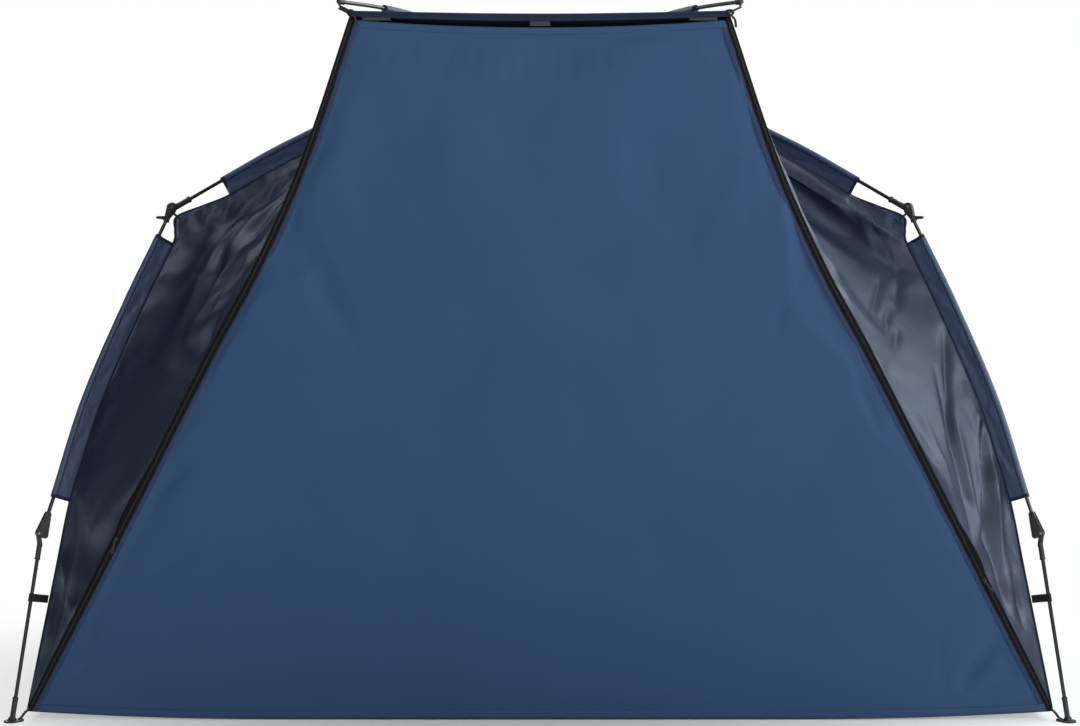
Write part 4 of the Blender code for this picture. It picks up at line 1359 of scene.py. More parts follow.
@dataclass(frozen=True)
class Joinery:
    """The moulded sockets and collars that the rods sit in."""

    collar: float = 0.0012
    collar_run: float = 0.006
    bore: float = 0.0056
    ease: float = 0.0008

    def socket(self, maker: Maker, mouth: Vector, root: Vector, radius: float) -> None:
        """Turn a socket with a raised collar and a rounded mouth."""
        run = (root - mouth).length
        bore, wide, end, ease = self.bore, radius + self.collar, self.collar_run, self.ease
        profile = [(bore, 0.004), (bore, 0.0006), (bore + 0.0006, 0.0), (wide - ease, 0.0), (wide, ease),
                   (wide, end - ease), (wide - ease, end), (radius, end + ease / 2), (radius, run - 0.0005),
                   (radius - 0.0005, run), (0.0, run)]
        maker.turned(profile, mouth, root - mouth, 28)


def hull(circles: Sequence[tuple[float, float, float]], sides: int = 32) -> list[Pair]:
    """Return the outline round a few circles.

    Args:
        circles: Each circle as (distance, height, radius).
        sides: The number of points tried on each circle.

    Returns:
        The outline's points, in order.
    """
    rim = []
    for distance, height, radius in circles:
        for step in range(sides):
            angle = 2 * math.pi * step / sides
            rim.append((distance + radius * math.cos(angle), height + radius * math.sin(angle)))
    outline = [rim[index] for index in convex_hull_2d(rim)]
    kept = [outline[0]]
    for point in outline[1:]:
        if math.dist(point, kept[-1]) > 0.0002 and math.dist(point, outline[0]) > 0.0002:
            kept.append(point)
    return kept


@dataclass(frozen=True)
class Rod:
    """One length of rod along a line of its own plane."""

    label: Label
    turn: Matrix
    line: Line
    start: float
    end: float
    count: int = 60

    def build(self) -> bpy.types.Object:
        """Sweep the rod."""
        maker = Maker()
        maker.tube(self.line.run(self.count, self.start, self.end), Plan.ROD, 20)
        return publish(maker.moved(self.turn), self.label, BLACK_ROD)


@dataclass
class Hub:
    """The moulded hub over the middle, with six arms, and the crown patch under it."""

    radius: float = 0.034
    foot: float = 1.7161
    low: float = 1.738
    groove: float = 1.758
    top: float = 1.787
    arm: float = 0.0095
    arm_end: float = 0.081
    patch_radius: float = 0.0795
    patch_height: float = 1.714

    def build(self) -> None:
        """Make the hub, its screws and the crown patch."""
        maker = Maker()
        r, foot, low, groove, top = self.radius, self.foot, self.low, self.groove, self.top
        maker.turned([(0.0, foot), (0.027, foot), (0.028, foot + 0.001), (0.028, low - 0.002), (r - 0.003, low),
                      (r - 0.001, low + 0.001), (r, low + 0.003), (r, groove), (r - 0.0012, groove + 0.001),
                      (r - 0.0012, groove + 0.0025), (r, groove + 0.0035), (r, top - 0.007), (r - 0.001, top - 0.0035),
                      (r - 0.0035, top - 0.001), (r - 0.006, top - 0.0002), (0.022, top), (0.0215, top - 0.0012),
                      (0.0155, top - 0.0015), (0.015, top - 0.0002), (0.01, top), (0.0, top)],
                     Vector(), UP, 48)
        joinery = Joinery()
        arms = [(Plan.ROOF, Plan.turn(corner)) for corner in Corner]
        arms += [(Plan.AWNING, Plan.awning_turn(side)) for side in Side]
        for line, turn in arms:
            start, heading = line.at(0.0), line.heading(0.0)
            mouth = start + heading * (self.arm_end - start.x)
            root = start - heading * 0.018
            turn3 = turn.to_3x3()
            joinery.socket(maker, turn3 @ mouth, turn3 @ root, self.arm)
        publish(maker, Label("hub_body", stands_for=("hub",)), BLACK_PLASTIC)
        screws = Maker()
        for step in range(3):
            angle = math.radians(30 + 120 * step)
            place = Vector((0.0185 * math.cos(angle), 0.0185 * math.sin(angle), top - 0.0016))
            screws.turned([(0.0012, -0.0004), (0.0012, 0.0), (0.0026, 0.0004), (0.0026, 0.0008), (0.0021, 0.0014),
                           (0.0013, 0.0015), (0.0012, 0.0006), (0.0, 0.0006)], place, UP, 16)
        publish(screws, Label("hub_screws"), PIN_METAL)
        self._patch()

    def _patch(self) -> None:
        """Make the round crown patch with its turned rim and stitches."""
        maker = Maker()
        r, z = self.patch_radius, self.patch_height
        maker.turned([(0.0, z - 0.0009), (0.03, z - 0.0009), (r - 0.008, z - 0.0008), (r - 0.0006, z - 0.0012),
                      (r, z - 0.0004), (r, z + 0.0006), (r - 0.0006, z + 0.0014), (r - 0.008, z + 0.0014),
                      (r - 0.0086, z + 0.001), (0.03, z + 0.0012), (0.0, z + 0.0012)],
                     Vector(), UP, 96)
        publish(maker, Label("crown_patch_cloth", slot=Slot.NAVY, stands_for=("crown_patch",)), SLEEVE_CLOTH)
        rows = Maker()
        for radius in (r - 0.0022, r - 0.0064):
            ring = [Vector((radius * math.cos(a), radius * math.sin(a), z + 0.0015))
                    for a in spread(0, 2 * math.pi, 97)]
            rows.stitches(ring, UP)
        publish(rows, Label("crown_patch_stitches", slot=Slot.NAVY), THREAD)


@dataclass
class Leg:
    """One leg's hardware: roof rod, knee, upper leg, hinge, lower leg, foot and strap."""

    corner: Corner
    socket_radius: float = 0.0074
    knee_half: float = 0.008
    hinge_half: float = 0.0085
    slot_half: float = 0.0045
    tongue_half: float = 0.004
    plate_half: float = 0.0025
    tab_height: float = 1.287
    roof_reach: Pair = (0.0, 0.99)
    leg_reach: Pair = (0.012, 0.985)
    lower_socket: Pair = (0.405, 0.449)
    lower_reach: tuple[float, float, float] = (0.425, 0.2, 0.0115)

    def __post_init__(self) -> None:
        """Work out the leg's plane and its moving body."""
        self.turn = Plan.turn(self.corner)
        self.body = "lower_leg_" + self.corner.label

    def label(self, part: str, slot: Slot = Slot.PLASTIC, stands_for: str = "", moving: bool = False) -> Label:
        """Return a label for one of the leg's pieces."""
        nodes = (stands_for + "_" + self.corner.label,) if stands_for else ()
        return Label(part + "_" + self.corner.label, self.body if moving else "root", slot, nodes)

    def build(self) -> None:
        """Make every piece of the leg."""
        Rod(self.label("roof_rod", Slot.ROD, "roof_pole"), self.turn, Plan.ROOF, *self.roof_reach).build()
        Rod(self.label("upper_rod", Slot.ROD, "upper_leg"), self.turn, Plan.LEG, *self.leg_reach).build()
        self._knee()
        self._knee_tie()
        self._hinge()
        self._lower_leg()
        self._foot()
        self._strap()

    @staticmethod
    def _eyelet(maker: Maker, centre: Vector, half: float, outer: float, inner: float) -> None:
        """Turn a flanged tube that passes through a plate."""
        lip = half + 0.0006
        maker.turned([(inner, -lip), (outer - 0.0004, -lip), (outer, -lip + 0.0004), (outer, -half + 0.0004),
                      (inner + 0.0005, -half + 0.0006), (inner + 0.0005, half - 0.0006), (outer, half - 0.0004),
                      (outer, lip - 0.0004), (outer - 0.0004, lip), (inner, lip), (inner, -lip)],
                     centre, SIDEWAYS, 24)

    def _knee(self) -> None:
        """Make the knee's housing, its two sockets, the tab and the pin."""
        knee = upright(Plan.KNEE)
        roof, leg = Plan.ROOF.heading(1.0), Plan.LEG.heading(0.0)
        tail = knee + leg * 0.018
        maker = Maker()
        maker.plate(hull([(*Plan.KNEE_PIN, 0.012), (knee.x - 0.004, knee.z, 0.0085), (tail.x, tail.z, 0.0075)]),
                    self.knee_half, 0.0022)
        rib = hull([(*Plan.KNEE_PIN, 0.0088), (knee.x - 0.003, knee.z - 0.001, 0.0056)])
        maker.plate(rib, self.knee_half + 0.0009, 0.0006, 2)
        joinery = Joinery()
        joinery.socket(maker, knee - roof * 0.062, knee - roof * 0.004, self.socket_radius)
        joinery.socket(maker, knee + leg * 0.034, knee, self.socket_radius)
        web = knee - roof * 0.036
        maker.plate(hull([(knee.x, knee.z + 0.004, 0.008), (web.x, web.z, 0.0062)]), 0.003, 0.0012)
        root = knee + leg * ((self.tab_height - knee.z) / leg.z)
        maker.plate(hull([(root.x, root.z, 0.005), (root.x + 0.027, root.z, 0.0035)]), 0.004, 0.0016)
        publish(maker.moved(self.turn), self.label("knee_housing", Slot.PLASTIC, "knee"), BLACK_PLASTIC)
        pin = Maker()
        self._eyelet(pin, upright(Plan.KNEE_PIN), self.knee_half + 0.0009, 0.0038, 0.0021)
        publish(pin.moved(self.turn), self.label("knee_eyelet"), PIN_METAL)

    def _knee_tie(self) -> None:
        """Make the folded binding that holds the skin's corner to the knee."""
        seam, knee = upright(Plan.KNEE_SEAM), upright(Plan.KNEE)
        maker = Maker()
        run = [seam.lerp(knee, share) + UP * rise for share, rise in
               ((-0.55, 0.0), (0.0, 0.0006), (0.5, 0.0), (0.9, -0.0008))]
        maker.band(Line(run).run(12), 0.0125, 0.0034, lambda index: SIDEWAYS)
        publish(maker.moved(self.turn), self.label("knee_binding", Slot.NAVY), PIPING_AND_SHADE_TAPE)

    def _hinge(self) -> None:
        """Make the fixed half of the lower hinge: neck, two cheeks, grip ribs and the pin."""
        pin, joint = upright(Plan.LEG_PIN), upright(Plan.LEG_JOINT)
        heading = Plan.LEG.heading(1.0)
        neck = joint - heading * 0.05
        stop = (pin.x - 0.0155, pin.z - 0.0065, 0.008)
        outline = hull([(neck.x, neck.z, 0.0072), (pin.x, pin.z, 0.0065), stop])
        maker = Maker()
        cheek = (self.hinge_half - self.slot_half) / 2
        for side in (-1, 1):
            part = Maker()
            part.plate(outline, cheek, 0.0011)
            part.moved(Matrix.Translation((0.0, side * (self.slot_half + cheek), 0.0)))
            maker.join(part)
        crown = neck + heading * 0.018
        maker.plate(hull([(neck.x, neck.z, 0.0071), (crown.x - 0.0015, crown.z, 0.0066)]), 0.005, 0.0008)
        maker.plate(hull([(pin.x - 0.0172, pin.z - 0.006, 0.0062), (pin.x - 0.0178, pin.z + 0.008, 0.004)]),
                    0.005, 0.0008)
        Joinery(0.001, 0.005).socket(maker, neck - heading * 0.004, neck + heading * 0.02, self.socket_radius)
        for step in range(7):
            spot = neck + heading * (0.01 + 0.0042 * step)
            out = spot.x - 0.0009 * step
            maker.plate(hull([(out - 0.0078, spot.z - 0.001, 0.0011), (out - 0.005, spot.z, 0.0011)]),
                        self.hinge_half + 0.0002, 0.0004, 2)
        publish(maker.moved(self.turn), self.label("hinge_cheeks", Slot.PLASTIC, "leg_hinge"), BLACK_PLASTIC)
        rivet = Maker()
        lip = self.hinge_half
        rivet.turned([(0.0, -lip - 0.0009), (0.0024, -lip - 0.0008), (0.0033, -lip), (0.0022, -lip + 0.0002),
                      (0.0022, lip - 0.0002), (0.0033, lip), (0.0024, lip + 0.0008), (0.0, lip + 0.0009)],
                     pin, SIDEWAYS, 24)
        publish(rivet.moved(self.turn), self.label("hinge_pin"), PIN_METAL)

    def _lower_leg(self) -> None:
        """Make the lower leg: tongue, socket and rod."""
        pin = upright(Plan.LEG_PIN)
        mouth, root = map(Plan.lower, self.lower_socket)
        maker = Maker()
        maker.plate(hull([(pin.x, pin.z, 0.0062), (root.x, root.z - 0.008, 0.0058)]), self.tongue_half, 0.001)
        Joinery(0.0008, 0.005).socket(maker, mouth, root, 0.0066)
        publish(maker.moved(self.turn), self.label("lower_socket", Slot.PLASTIC, moving=True), BLACK_PLASTIC)
        line = Line(map(Plan.lower, self.lower_reach))
        Rod(self.label("lower_rod", Slot.ROD, "lower_leg", True), self.turn, line, 0.0, 1.0, 12).build()

    def _foot(self) -> None:
        """Make the foot: plate, ferrule, collar and the lug's ring."""
        maker = Maker()
        maker.plate(hull([(Plan.REACH, 0.0, 0.0196), (Plan.REACH - 0.02, 0.0, 0.0108)], 48), self.plate_half, 0.0012)
        maker.moved(Matrix.Translation((0.0, 0.0, self.plate_half)) @ Matrix.Rotation(math.radians(90), 4, "X"))
        Joinery(0.0007, 0.006).socket(maker, Plan.lower(0.062), Plan.lower(0.003), 0.0067)
        base = Maker()
        base.turned([(0.0, 0.0), (0.012, 0.0), (0.0118, 0.0016), (0.0094, 0.004), (0.0084, 0.0085), (0.0, 0.0085)],
                    Vector((Plan.REACH - 0.0008, 0.0, 0.0046)), UP, 28)
        maker.join(base)
        publish(maker.moved(self.turn), self.label("foot_plate", Slot.PLASTIC, "foot", True), BLACK_PLASTIC)
        ring = Maker()
        centre = Vector((Plan.REACH - 0.0235, 0.0, 0.0052))
        circle = [centre + Vector((0.0052 * math.cos(a), 0.0052 * math.sin(a), 0.0))
                  for a in spread(0, 2 * math.pi, 25)]
        ring.tube(circle, 0.0009, 8, UP)
        publish(ring.moved(self.turn), self.label("foot_eyelet", moving=True), PIN_METAL)

    def _strap(self) -> None:
        """Make the webbing loop round the lower rod and its sewn tail."""
        middle = Plan.lower(Plan.STRAP_HEIGHT)
        heading = (Plan.lower(0.0) - Plan.lower(0.4)).normalized()
        inner = inward(heading)
        ridge = Plan.ridge_points()
        seam = ridge[Plan.LEG_END]
        square = (ridge[-1] - seam).normalized().cross(SIDEWAYS)
        reach = (seam - middle).dot(square) / inner.dot(square) - Plan.BEAD - 0.0008
        maker = Maker()
        tail, ring = reach - 0.0015, 0.0062
        ends = ((tail, 0.0008), (0.016, 0.001), (0.0085, 0.003))
        loop = [middle + inner * away + SIDEWAYS * aside for away, aside in ends]
        loop += [middle + inner * ring * math.cos(angle) + SIDEWAYS * (ring * math.sin(angle))
                 for angle in spread(math.radians(55), math.radians(305), 15)]
        loop += [middle + inner * away - SIDEWAYS * aside for away, aside in reversed(ends)]
        maker.band(loop, 0.02, 0.0014, lambda index: heading)
        publish(maker.moved(self.turn), self.label("leg_tape", Slot.WEBBING, "leg_strap", True), BLACK_TAPE)
        rows = Maker()
        for side in (-1, 1):
            face = SIDEWAYS * (side * 0.0017)
            low, high = middle + inner * 0.014 + face, middle + inner * (tail - 0.003) + face
            across = heading * 0.0078
            box = [low - across, high - across, high + across, low + across, low - across, high + across]
            rows.stitches(box, SIDEWAYS, 0.0026, 0.0007, 0.0008)
        publish(rows.moved(self.turn), self.label("leg_tape_stitches", Slot.WEBBING, moving=True), BLACK_THREAD)


@dataclass
class Sleeve:
    """A sleeve: a tunnel round the rod, a fin of doubled cloth and a piped seam."""

    name: str
    turn: Matrix
    seam: list[Vector]
    stretches: list[tuple[Line, float, float]]
    tunnel: float = 0.0067
    pucker: float = 0.0021
    thick: float = 0.0016
    hem: float = 0.009
    hem_inset: float = 0.0042
    seed: float = 0.0

    def build(self) -> None:
        """Make the sleeve's cloth, piping, hems and stitches."""
        cloth, threads, hems = Maker(), Maker(), Maker()
        for number, (rod, start, end) in enumerate(self.stretches):
            self._stretch(cloth, threads, hems, rod, start, end, number)
        label = Label(self.name + "_cloth", slot=Slot.NAVY, stands_for=(self.name,))
        thicken(publish(cloth.moved(self.turn), label, SLEEVE_CLOTH), self.thick)
        publish(hems.moved(self.turn), Label(self.name + "_hems", slot=Slot.NAVY), PIPING_AND_SHADE_TAPE)
        publish(threads.moved(self.turn), Label(self.name + "_stitches", slot=Slot.NAVY), THREAD)
        piping = Maker()
        line = Line(self.seam, even=True)
        piping.tube(line.run(150), Plan.BEAD, 12)
        publish(piping.moved(self.turn), Label(self.name + "_piping", slot=Slot.NAVY), PIPING_AND_SHADE_TAPE)

    def _stretch(self, cloth: Maker, threads: Maker, hems: Maker, rod: Line, start: float, end: float,
                 number: int) -> None:
        """Make one stretch between two gaps in the sleeve."""
        length = measured(rod.run(20, start, end))
        count = max(24, int(length / 0.011))
        shift = self.seed + number * 7.3

        def place(u: float, v: float) -> Vector:
            """Return the fin's point from the tunnel (u = 0) to the seam (u = 1)."""
            share = start + (end - start) * v
            inner = inward(rod.heading(share))
            base = rod.at(share) + inner * self.tunnel * 0.92
            seam = rod.at(share) + inner * Plan.FIN
            if number == 0:
                seam = seam.lerp(upright(Plan.CROWN_SEAM), max(0.0, 1 - v * 12)) if v < 1 / 12 else seam
            point = base.lerp(seam, u)
            run = v * length
            wave = noise.noise(Vector((run * 26 + u * 1.6, u * 1.2, shift)))
            tight = noise.noise(Vector((run * 70 - u * 2.5, u * 2.0, shift + 3.0)))
            ease = math.sin(math.pi * min(max(u, 0.02), 0.98))
            return point + SIDEWAYS * (wave * self.pucker * 2.2 + tight * self.pucker) * ease

        cloth.grid(8, count, place, (Plan.FIN, length))
        tube = Maker()
        angles = spread(0, 2 * math.pi, 19)[:-1]
        outline = []
        for angle in angles:
            pinch = 1.0 + 0.22 * max(0.0, -math.sin(angle))**6
            outline.append((self.tunnel * math.cos(angle), self.tunnel * math.sin(angle) * pinch))
        tube.sweep(rod.run(count, start, end), outline, lambda index: SIDEWAYS,
                   lambda share: 1.0 + 0.05 * noise.noise(Vector((share * length * 45, shift, 0.0))), capped=False)
        cloth.join(tube)
        for share in (start, end):
            heading = rod.heading(share) * (self.hem_inset if share == start else -self.hem_inset)
            inner = inward(rod.heading(share))
            base = rod.at(share) + heading
            edge = [base + inner * (self.tunnel + (Plan.FIN - self.tunnel - 0.001) * step / 12) for step in range(13)]
            hems.band(edge, self.hem, 0.003, lambda index: rod.heading(share))
            ring = [base + (inner * math.cos(a) + SIDEWAYS * math.sin(a)) * (self.tunnel + 0.0009)
                    for a in spread(0, 2 * math.pi, 25)]
            hems.band(ring, self.hem, 0.0012, lambda index: rod.heading(share))
        for depth in (self.tunnel + 0.003, Plan.FIN - 0.006):
            row = [rod.at(s) + inward(rod.heading(s)) * depth for s in spread(start, end, count)]
            for side in (-1, 1):
                offset = SIDEWAYS * (side * (self.thick / 2 + 0.0003))
                threads.stitches([point + offset for point in row], SIDEWAYS, 0.0048, 0.0007)


TIE_TAPE = (0.015, 0.0018)    # the ties' width and thickness


@dataclass
class Awning:
    """One awning arm: rod, capped tip, sleeve and the webbing that ties the canopy's corner."""

    side: Side

    def __post_init__(self) -> None:
        """Work out the arm's plane."""
        self.turn = Plan.awning_turn(self.side)

    def build(self) -> None:
        """Make every piece of the arm."""
        line = Plan.AWNING
        label = Label("awning_rod_" + self.side.label, "root", Slot.ROD, ("awning_pole_" + self.side.label,))
        Rod(label, self.turn, line, 0.0, 0.985).build()
        tip, heading = line.at(1.0), line.heading(1.0)
        cap = Maker()
        cap.turned([(0.0, 0.0), (0.0034, 0.0), (0.0056, 0.0012), (0.0065, 0.0034), (0.0065, 0.019), (0.006, 0.0196),
                    (0.006, 0.0206), (0.0065, 0.0212), (0.0065, 0.0252), (0.0058, 0.026), (0.0049, 0.026),
                    (0.0049, 0.02), (0.0, 0.02)], tip, -heading, 24)
        under = tip - heading * 0.006
        cap.plate(hull([(under.x, under.z, 0.004), (under.x - 0.002, under.z - 0.009, 0.003)]), 0.0022, 0.0008)
        publish(cap.moved(self.turn), Label("awning_cap_" + self.side.label), BLACK_PLASTIC)
        name = "awning_sleeve_" + self.side.label
        Sleeve(name, self.turn, Plan.awning_points(self.side), [(line, *Plan.AWNING_SPAN)],
               seed=3.1 * self.side.value).build()
        self._tie(tip)

    def _tie(self, tip: Vector) -> None:
        """Make the tape from the canopy's corner to the tip, with its wrapped knot."""
        corner = Plan.awning_points(self.side)[-1]
        eye = tip + Vector((-0.0075, 0.0, -0.0125))
        maker = Maker()
        run = [corner + Vector((-0.012, 0, -0.001)), corner, corner.lerp(eye, 0.3), corner.lerp(eye, 0.7), eye]
        path = Line(run).run(14)
        maker.band(path, *TIE_TAPE, lambda index: Vector((0, 1, 0.25)))
        for number, share in enumerate((0.02, 0.14, 0.26)):
            centre = corner.lerp(eye, share * 0.5)
            heading = (eye - corner).normalized()
            up = heading.cross(SIDEWAYS)
            ring = [centre + (up * math.cos(a) + SIDEWAYS * math.sin(a)) * (0.008 - 0.0006 * number)
                    + heading * 0.002 * math.sin(a) for a in spread(0, 2 * math.pi, 21)]
            maker.tube(ring, 0.0022, 8, heading)
        tail = Line([corner + Vector((0.002, 0.006, -0.006)), corner + Vector((0.004, 0.014, -0.016)),
                     corner + Vector((-0.002, 0.02, -0.032))]).run(10)
        maker.band(tail, 0.009, 0.0014, lambda index: Vector((1, 0, 0)))
        publish(maker.moved(self.turn), Label("canopy_tie_" + self.side.label, slot=Slot.WEBBING), BLACK_TAPE)


@dataclass
class CornerTie:
    """The webbing that ties a ground corner of the skin to its foot."""

    corner: Corner

    def build(self) -> None:
        """Make the tape and its bar of stitches."""
        turn = Plan.turn(self.corner)
        seam = upright(Plan.CORNER_SEAM)
        end = Vector((Plan.REACH - 0.0225, 0.0, 0.0072))
        maker = Maker()
        run = [seam + Vector((-0.03, 0, 0.004)), seam + Vector((-0.008, 0, 0.0015)), seam.lerp(end, 0.35),
               seam.lerp(end, 0.8), end]
        maker.band(Line(run).run(16), *TIE_TAPE, lambda index: SIDEWAYS)
        cord = Line([end + Vector((-0.004, 0.0035, 0.001)), end + Vector((0.004, 0.003, 0.0)),
                     end + Vector((0.006, -0.001, -0.0006)), end + Vector((-0.003, -0.004, 0.001))]).run(14)
        maker.tube(cord, 0.0014, 8, UP)
        label = "corner_tie_" + self.corner.label
        publish(maker.moved(turn), Label(label, slot=Slot.WEBBING), BLACK_TAPE)
        rows = Maker()
        bar = [seam + Vector((-0.006, side * 0.006, 0.0034)) for side in (-1, 1)]
        back = Vector((0.004, 0, -0.0004))
        rows.stitches([bar[0], bar[1], bar[1] - back, bar[0] - back], UP, 0.002, 0.0008, 0.0008)
        publish(rows.moved(turn), Label(label + "_stitches", slot=Slot.WEBBING), BLACK_THREAD)


@dataclass
class Zip:
    """One of the door's two zips: a tape and a row of teeth on each side, a flap and a slider."""

    side: Side
    wing: Patch
    door: Patch
    slack: Pair
    # how far the black wing tape widens where the flap gapes, painted shade for the dark gap
    slack_reach: float
    slider_share: float
    door_tape: float = 0.0036
    wing_tape: float = 0.0046
    pitch: float = 0.0026
    tooth: tuple[float, float, float] = (0.0012, 0.0024, 0.0014)
    tooth_offset: float = 0.0011
    tooth_lift: float = 0.0021
    flat_share: float = 0.3
    thick: float = 0.0008
    count: int = 300

    def __post_init__(self) -> None:
        """Take the zip's line and the door's normal."""
        self.line = Plan.zip(self.side)
        self.normal = Vector((0.0, -1.0, -Plan.DOOR_LEAN)).normalized()
        self.across = Vector((self.side.value, 0.0, 0.0))

    def door_edge(self, share: float) -> Vector:
        """Return the door's zipped edge at a share."""
        return self.door.at(1.0 if self.side is Side.RIGHT else 0.0, share)

    def middle(self, share: float) -> Vector:
        """Return the line along which the teeth mesh."""
        return (self.door_edge(share) + self.line.at(share)) / 2 + self.normal * 0.0006

    def _slack(self, share: float) -> float:
        """Return how far the zip's flap gapes: a lens that is blunt above the slider, then a narrow slit; the black
        wing tape widens by as much, painted shade for the dark gap.
        """
        low, high = self.slack
        inside = (share - low) / (high - low)
        slit = 0.22 * math.sin(math.pi * min(max(share / self.slider_share, 0.0), 1.0))**0.7
        if not 0.0 < inside < 1.0:
            return slit
        return max(slit, 1.9 * inside**0.55 * (1 - inside)**1.15)

    def _wing_point(self, across: float, share: float) -> Vector:
        """Return the wing tape's point, from the teeth (0) to its sewn edge (1)."""
        slack = self._slack(share)
        # Where the flap gapes, the black wing tape reaches further into the wing: painted shade for the dark inside of
        # the gap, lifted a little by the curl.
        reach = self.wing_tape + self.slack_reach * slack
        step = 0.02
        unit = (self.wing.at(share, step) - self.wing.at(share, 0)).length
        if across < self.flat_share:
            near = across / self.flat_share
            flat = self.middle(share).lerp(self.line.at(share), near)
            return flat + self.across * 0.0006 * (1 - near) + self.normal * 0.001
        sewn = (across - self.flat_share) / (1 - self.flat_share)
        deep = sewn * reach * step / max(unit, 0.001)
        curl = slack * 0.007 * math.sin(math.pi * sewn * 0.8)
        return self.wing.at(share, deep) + self.wing.out(share, max(deep, 0.004)) * (0.0012 + curl)

    def _door_point(self, across: float, share: float) -> Vector:
        """Return the door tape's point, from the teeth (0) to its sewn edge (1)."""
        start = self.middle(share) - self.across * 0.0006
        end = self.door_edge(share) - self.across * self.door_tape
        return start.lerp(end, across) + self.normal * (0.0011 + 0.0005 * math.sin(math.pi * across))

    def build(self) -> None:
        """Make the zip's pieces."""
        name = self.side.label
        length = measured(self.line.run(40))
        for part, place, body in (("wing", self._wing_point, "root"), ("door", self._door_point, "front_door")):
            maker = Maker()
            maker.grid(6, self.count, place, (self.wing_tape + 0.003, length))
            thicken(publish(maker, Label(f"zip_tape_{part}_{name}", body, Slot.WEBBING), ZIP_TAPE), self.thick)
        self._teeth(name)
        self._slider(name)
        rows = Maker()
        row = [self._door_point(0.9, share) + self.normal * 0.0006 for share in spread(*ROW, 160)]
        rows.stitches(row, self.normal)
        publish(rows, Label(f"zip_stitches_door_{name}", "front_door", Slot.WEBBING), BLACK_THREAD)

    def _teeth(self, name: str) -> None:
        """Make both rows of teeth, half a pitch apart."""
        line = [self.middle(share) for share in spread(0.006, 0.994, 240)]
        size = Matrix.Diagonal((*self.tooth, 1.0))
        for part, shift, way, body in (("wing", 0.0, 1, "root"), ("door", 0.5, -1, "front_door")):
            maker = Maker()
            aside = self.across * (way * self.tooth_offset) + self.normal * self.tooth_lift
            places = []
            for point, heading in even_steps(line, self.pitch):
                turn = axes(heading, heading.cross(self.normal), self.normal)
                places.append(Matrix.Translation(point + heading * (self.pitch * shift) + aside) @ turn @ size)
            maker.repeat(partial(bmesh.ops.create_cube, size=1.0), places)
            publish(maker, Label(f"zip_teeth_{part}_{name}", body, Slot.PLASTIC), ZIP_PLASTIC)

    def _slider(self, name: str) -> None:
        """Make the slider with its pull tab, which hangs on the door's side."""
        heading = (self.middle(self.slider_share + 0.01) - self.middle(self.slider_share - 0.01)).normalized()
        start = self.middle(self.slider_share) + self.normal * 0.0042
        maker = Maker()
        maker.plate(hull([(0.0065, 0.0, 0.0048), (-0.007, 0.0, 0.0034)]), 0.0012, 0.0006)
        bridge = Maker()
        bridge.tube([Vector((x, -0.0015 - 0.0022 * math.sin(math.pi * s), 0.0))
                     for s, x in zip(spread(0, 1, 9), spread(-0.004, 0.006, 9))], 0.0008, 8, UP)
        maker.join(bridge)
        tab = Maker()
        tab.plate(hull([(-0.006, 0.0, 0.0024), (-0.03, 0.0, 0.0036)]), 0.0007, 0.0005)
        tab.moved(Matrix.Translation((0.0, -0.0028, 0.0)) @ Matrix.Rotation(math.radians(12), 4, "Y"))
        maker.join(tab)
        maker.moved(Matrix.Translation(start) @ axes(heading, -self.normal, heading.cross(self.normal)))
        publish(maker, Label(f"zip_slider_{name}", "front_door", Slot.PLASTIC), SLIDER_METAL)


DOOR_CREASES = creased(
    (-0.56, 1.38, -0.3, 0.9, 0.04, 0.0115), (-0.62, 1.28, -0.4, 0.84, 0.034, -0.0081),
    (-0.5, 1.45, -0.46, 1.05, 0.03, 0.0068), (-0.86, 0.86, -0.55, 1.06, 0.026, 0.0088),
    (-0.95, 0.66, -0.62, 0.86, 0.024, 0.0081), (-0.98, 0.56, -0.72, 0.76, 0.016, -0.0047),
    (-0.74, 1.02, -0.52, 1.14, 0.022, 0.0068), (-1.03, 0.34, -0.86, 0.44, 0.02, -0.008),
    (-1.2, 0.08, -1.02, 0.24, 0.015, -0.012, 1.4), (-1.22, 0.045, -0.96, 0.1, 0.014, -0.01, 1.4),
    (-1.16, 0.12, -1.11, 0.28, 0.013, -0.009, 1.3), (1.05, 0.07, 1.15, 0.19, 0.015, -0.02, 1.4),
    (1.1, 0.05, 1.21, 0.13, 0.013, -0.01, 1.4), (1.02, 0.05, 1.0, 0.26, 0.016, -0.009, 1.5),
    (1.14, 0.26, 1.22, 0.1, 0.013, -0.01, 1.4), (0.9, 0.6, 0.7, 0.86, 0.026, 0.0081),
    (0.8, 0.84, 0.6, 1.02, 0.022, 0.0074), (0.99, 0.42, 0.8, 0.62, 0.02, 0.0074),
    (0.84, 0.72, 0.74, 0.96, 0.012, -0.0054), (0.58, 1.3, 0.62, 0.98, 0.02, 0.0081),
    (0.66, 1.16, 0.56, 0.96, 0.02, -0.0061), (0.5, 1.42, 0.38, 1.06, 0.035, 0.0074),
    (0.02, 1.2, -0.1, 0.6, 0.06, 0.0068), (0.3, 1.05, 0.38, 0.45, 0.07, 0.0061),
    (-0.3, 1.6, -0.36, 1.15, 0.05, 0.0054), (0.16, 1.6, 0.2, 1.2, 0.05, 0.0041))
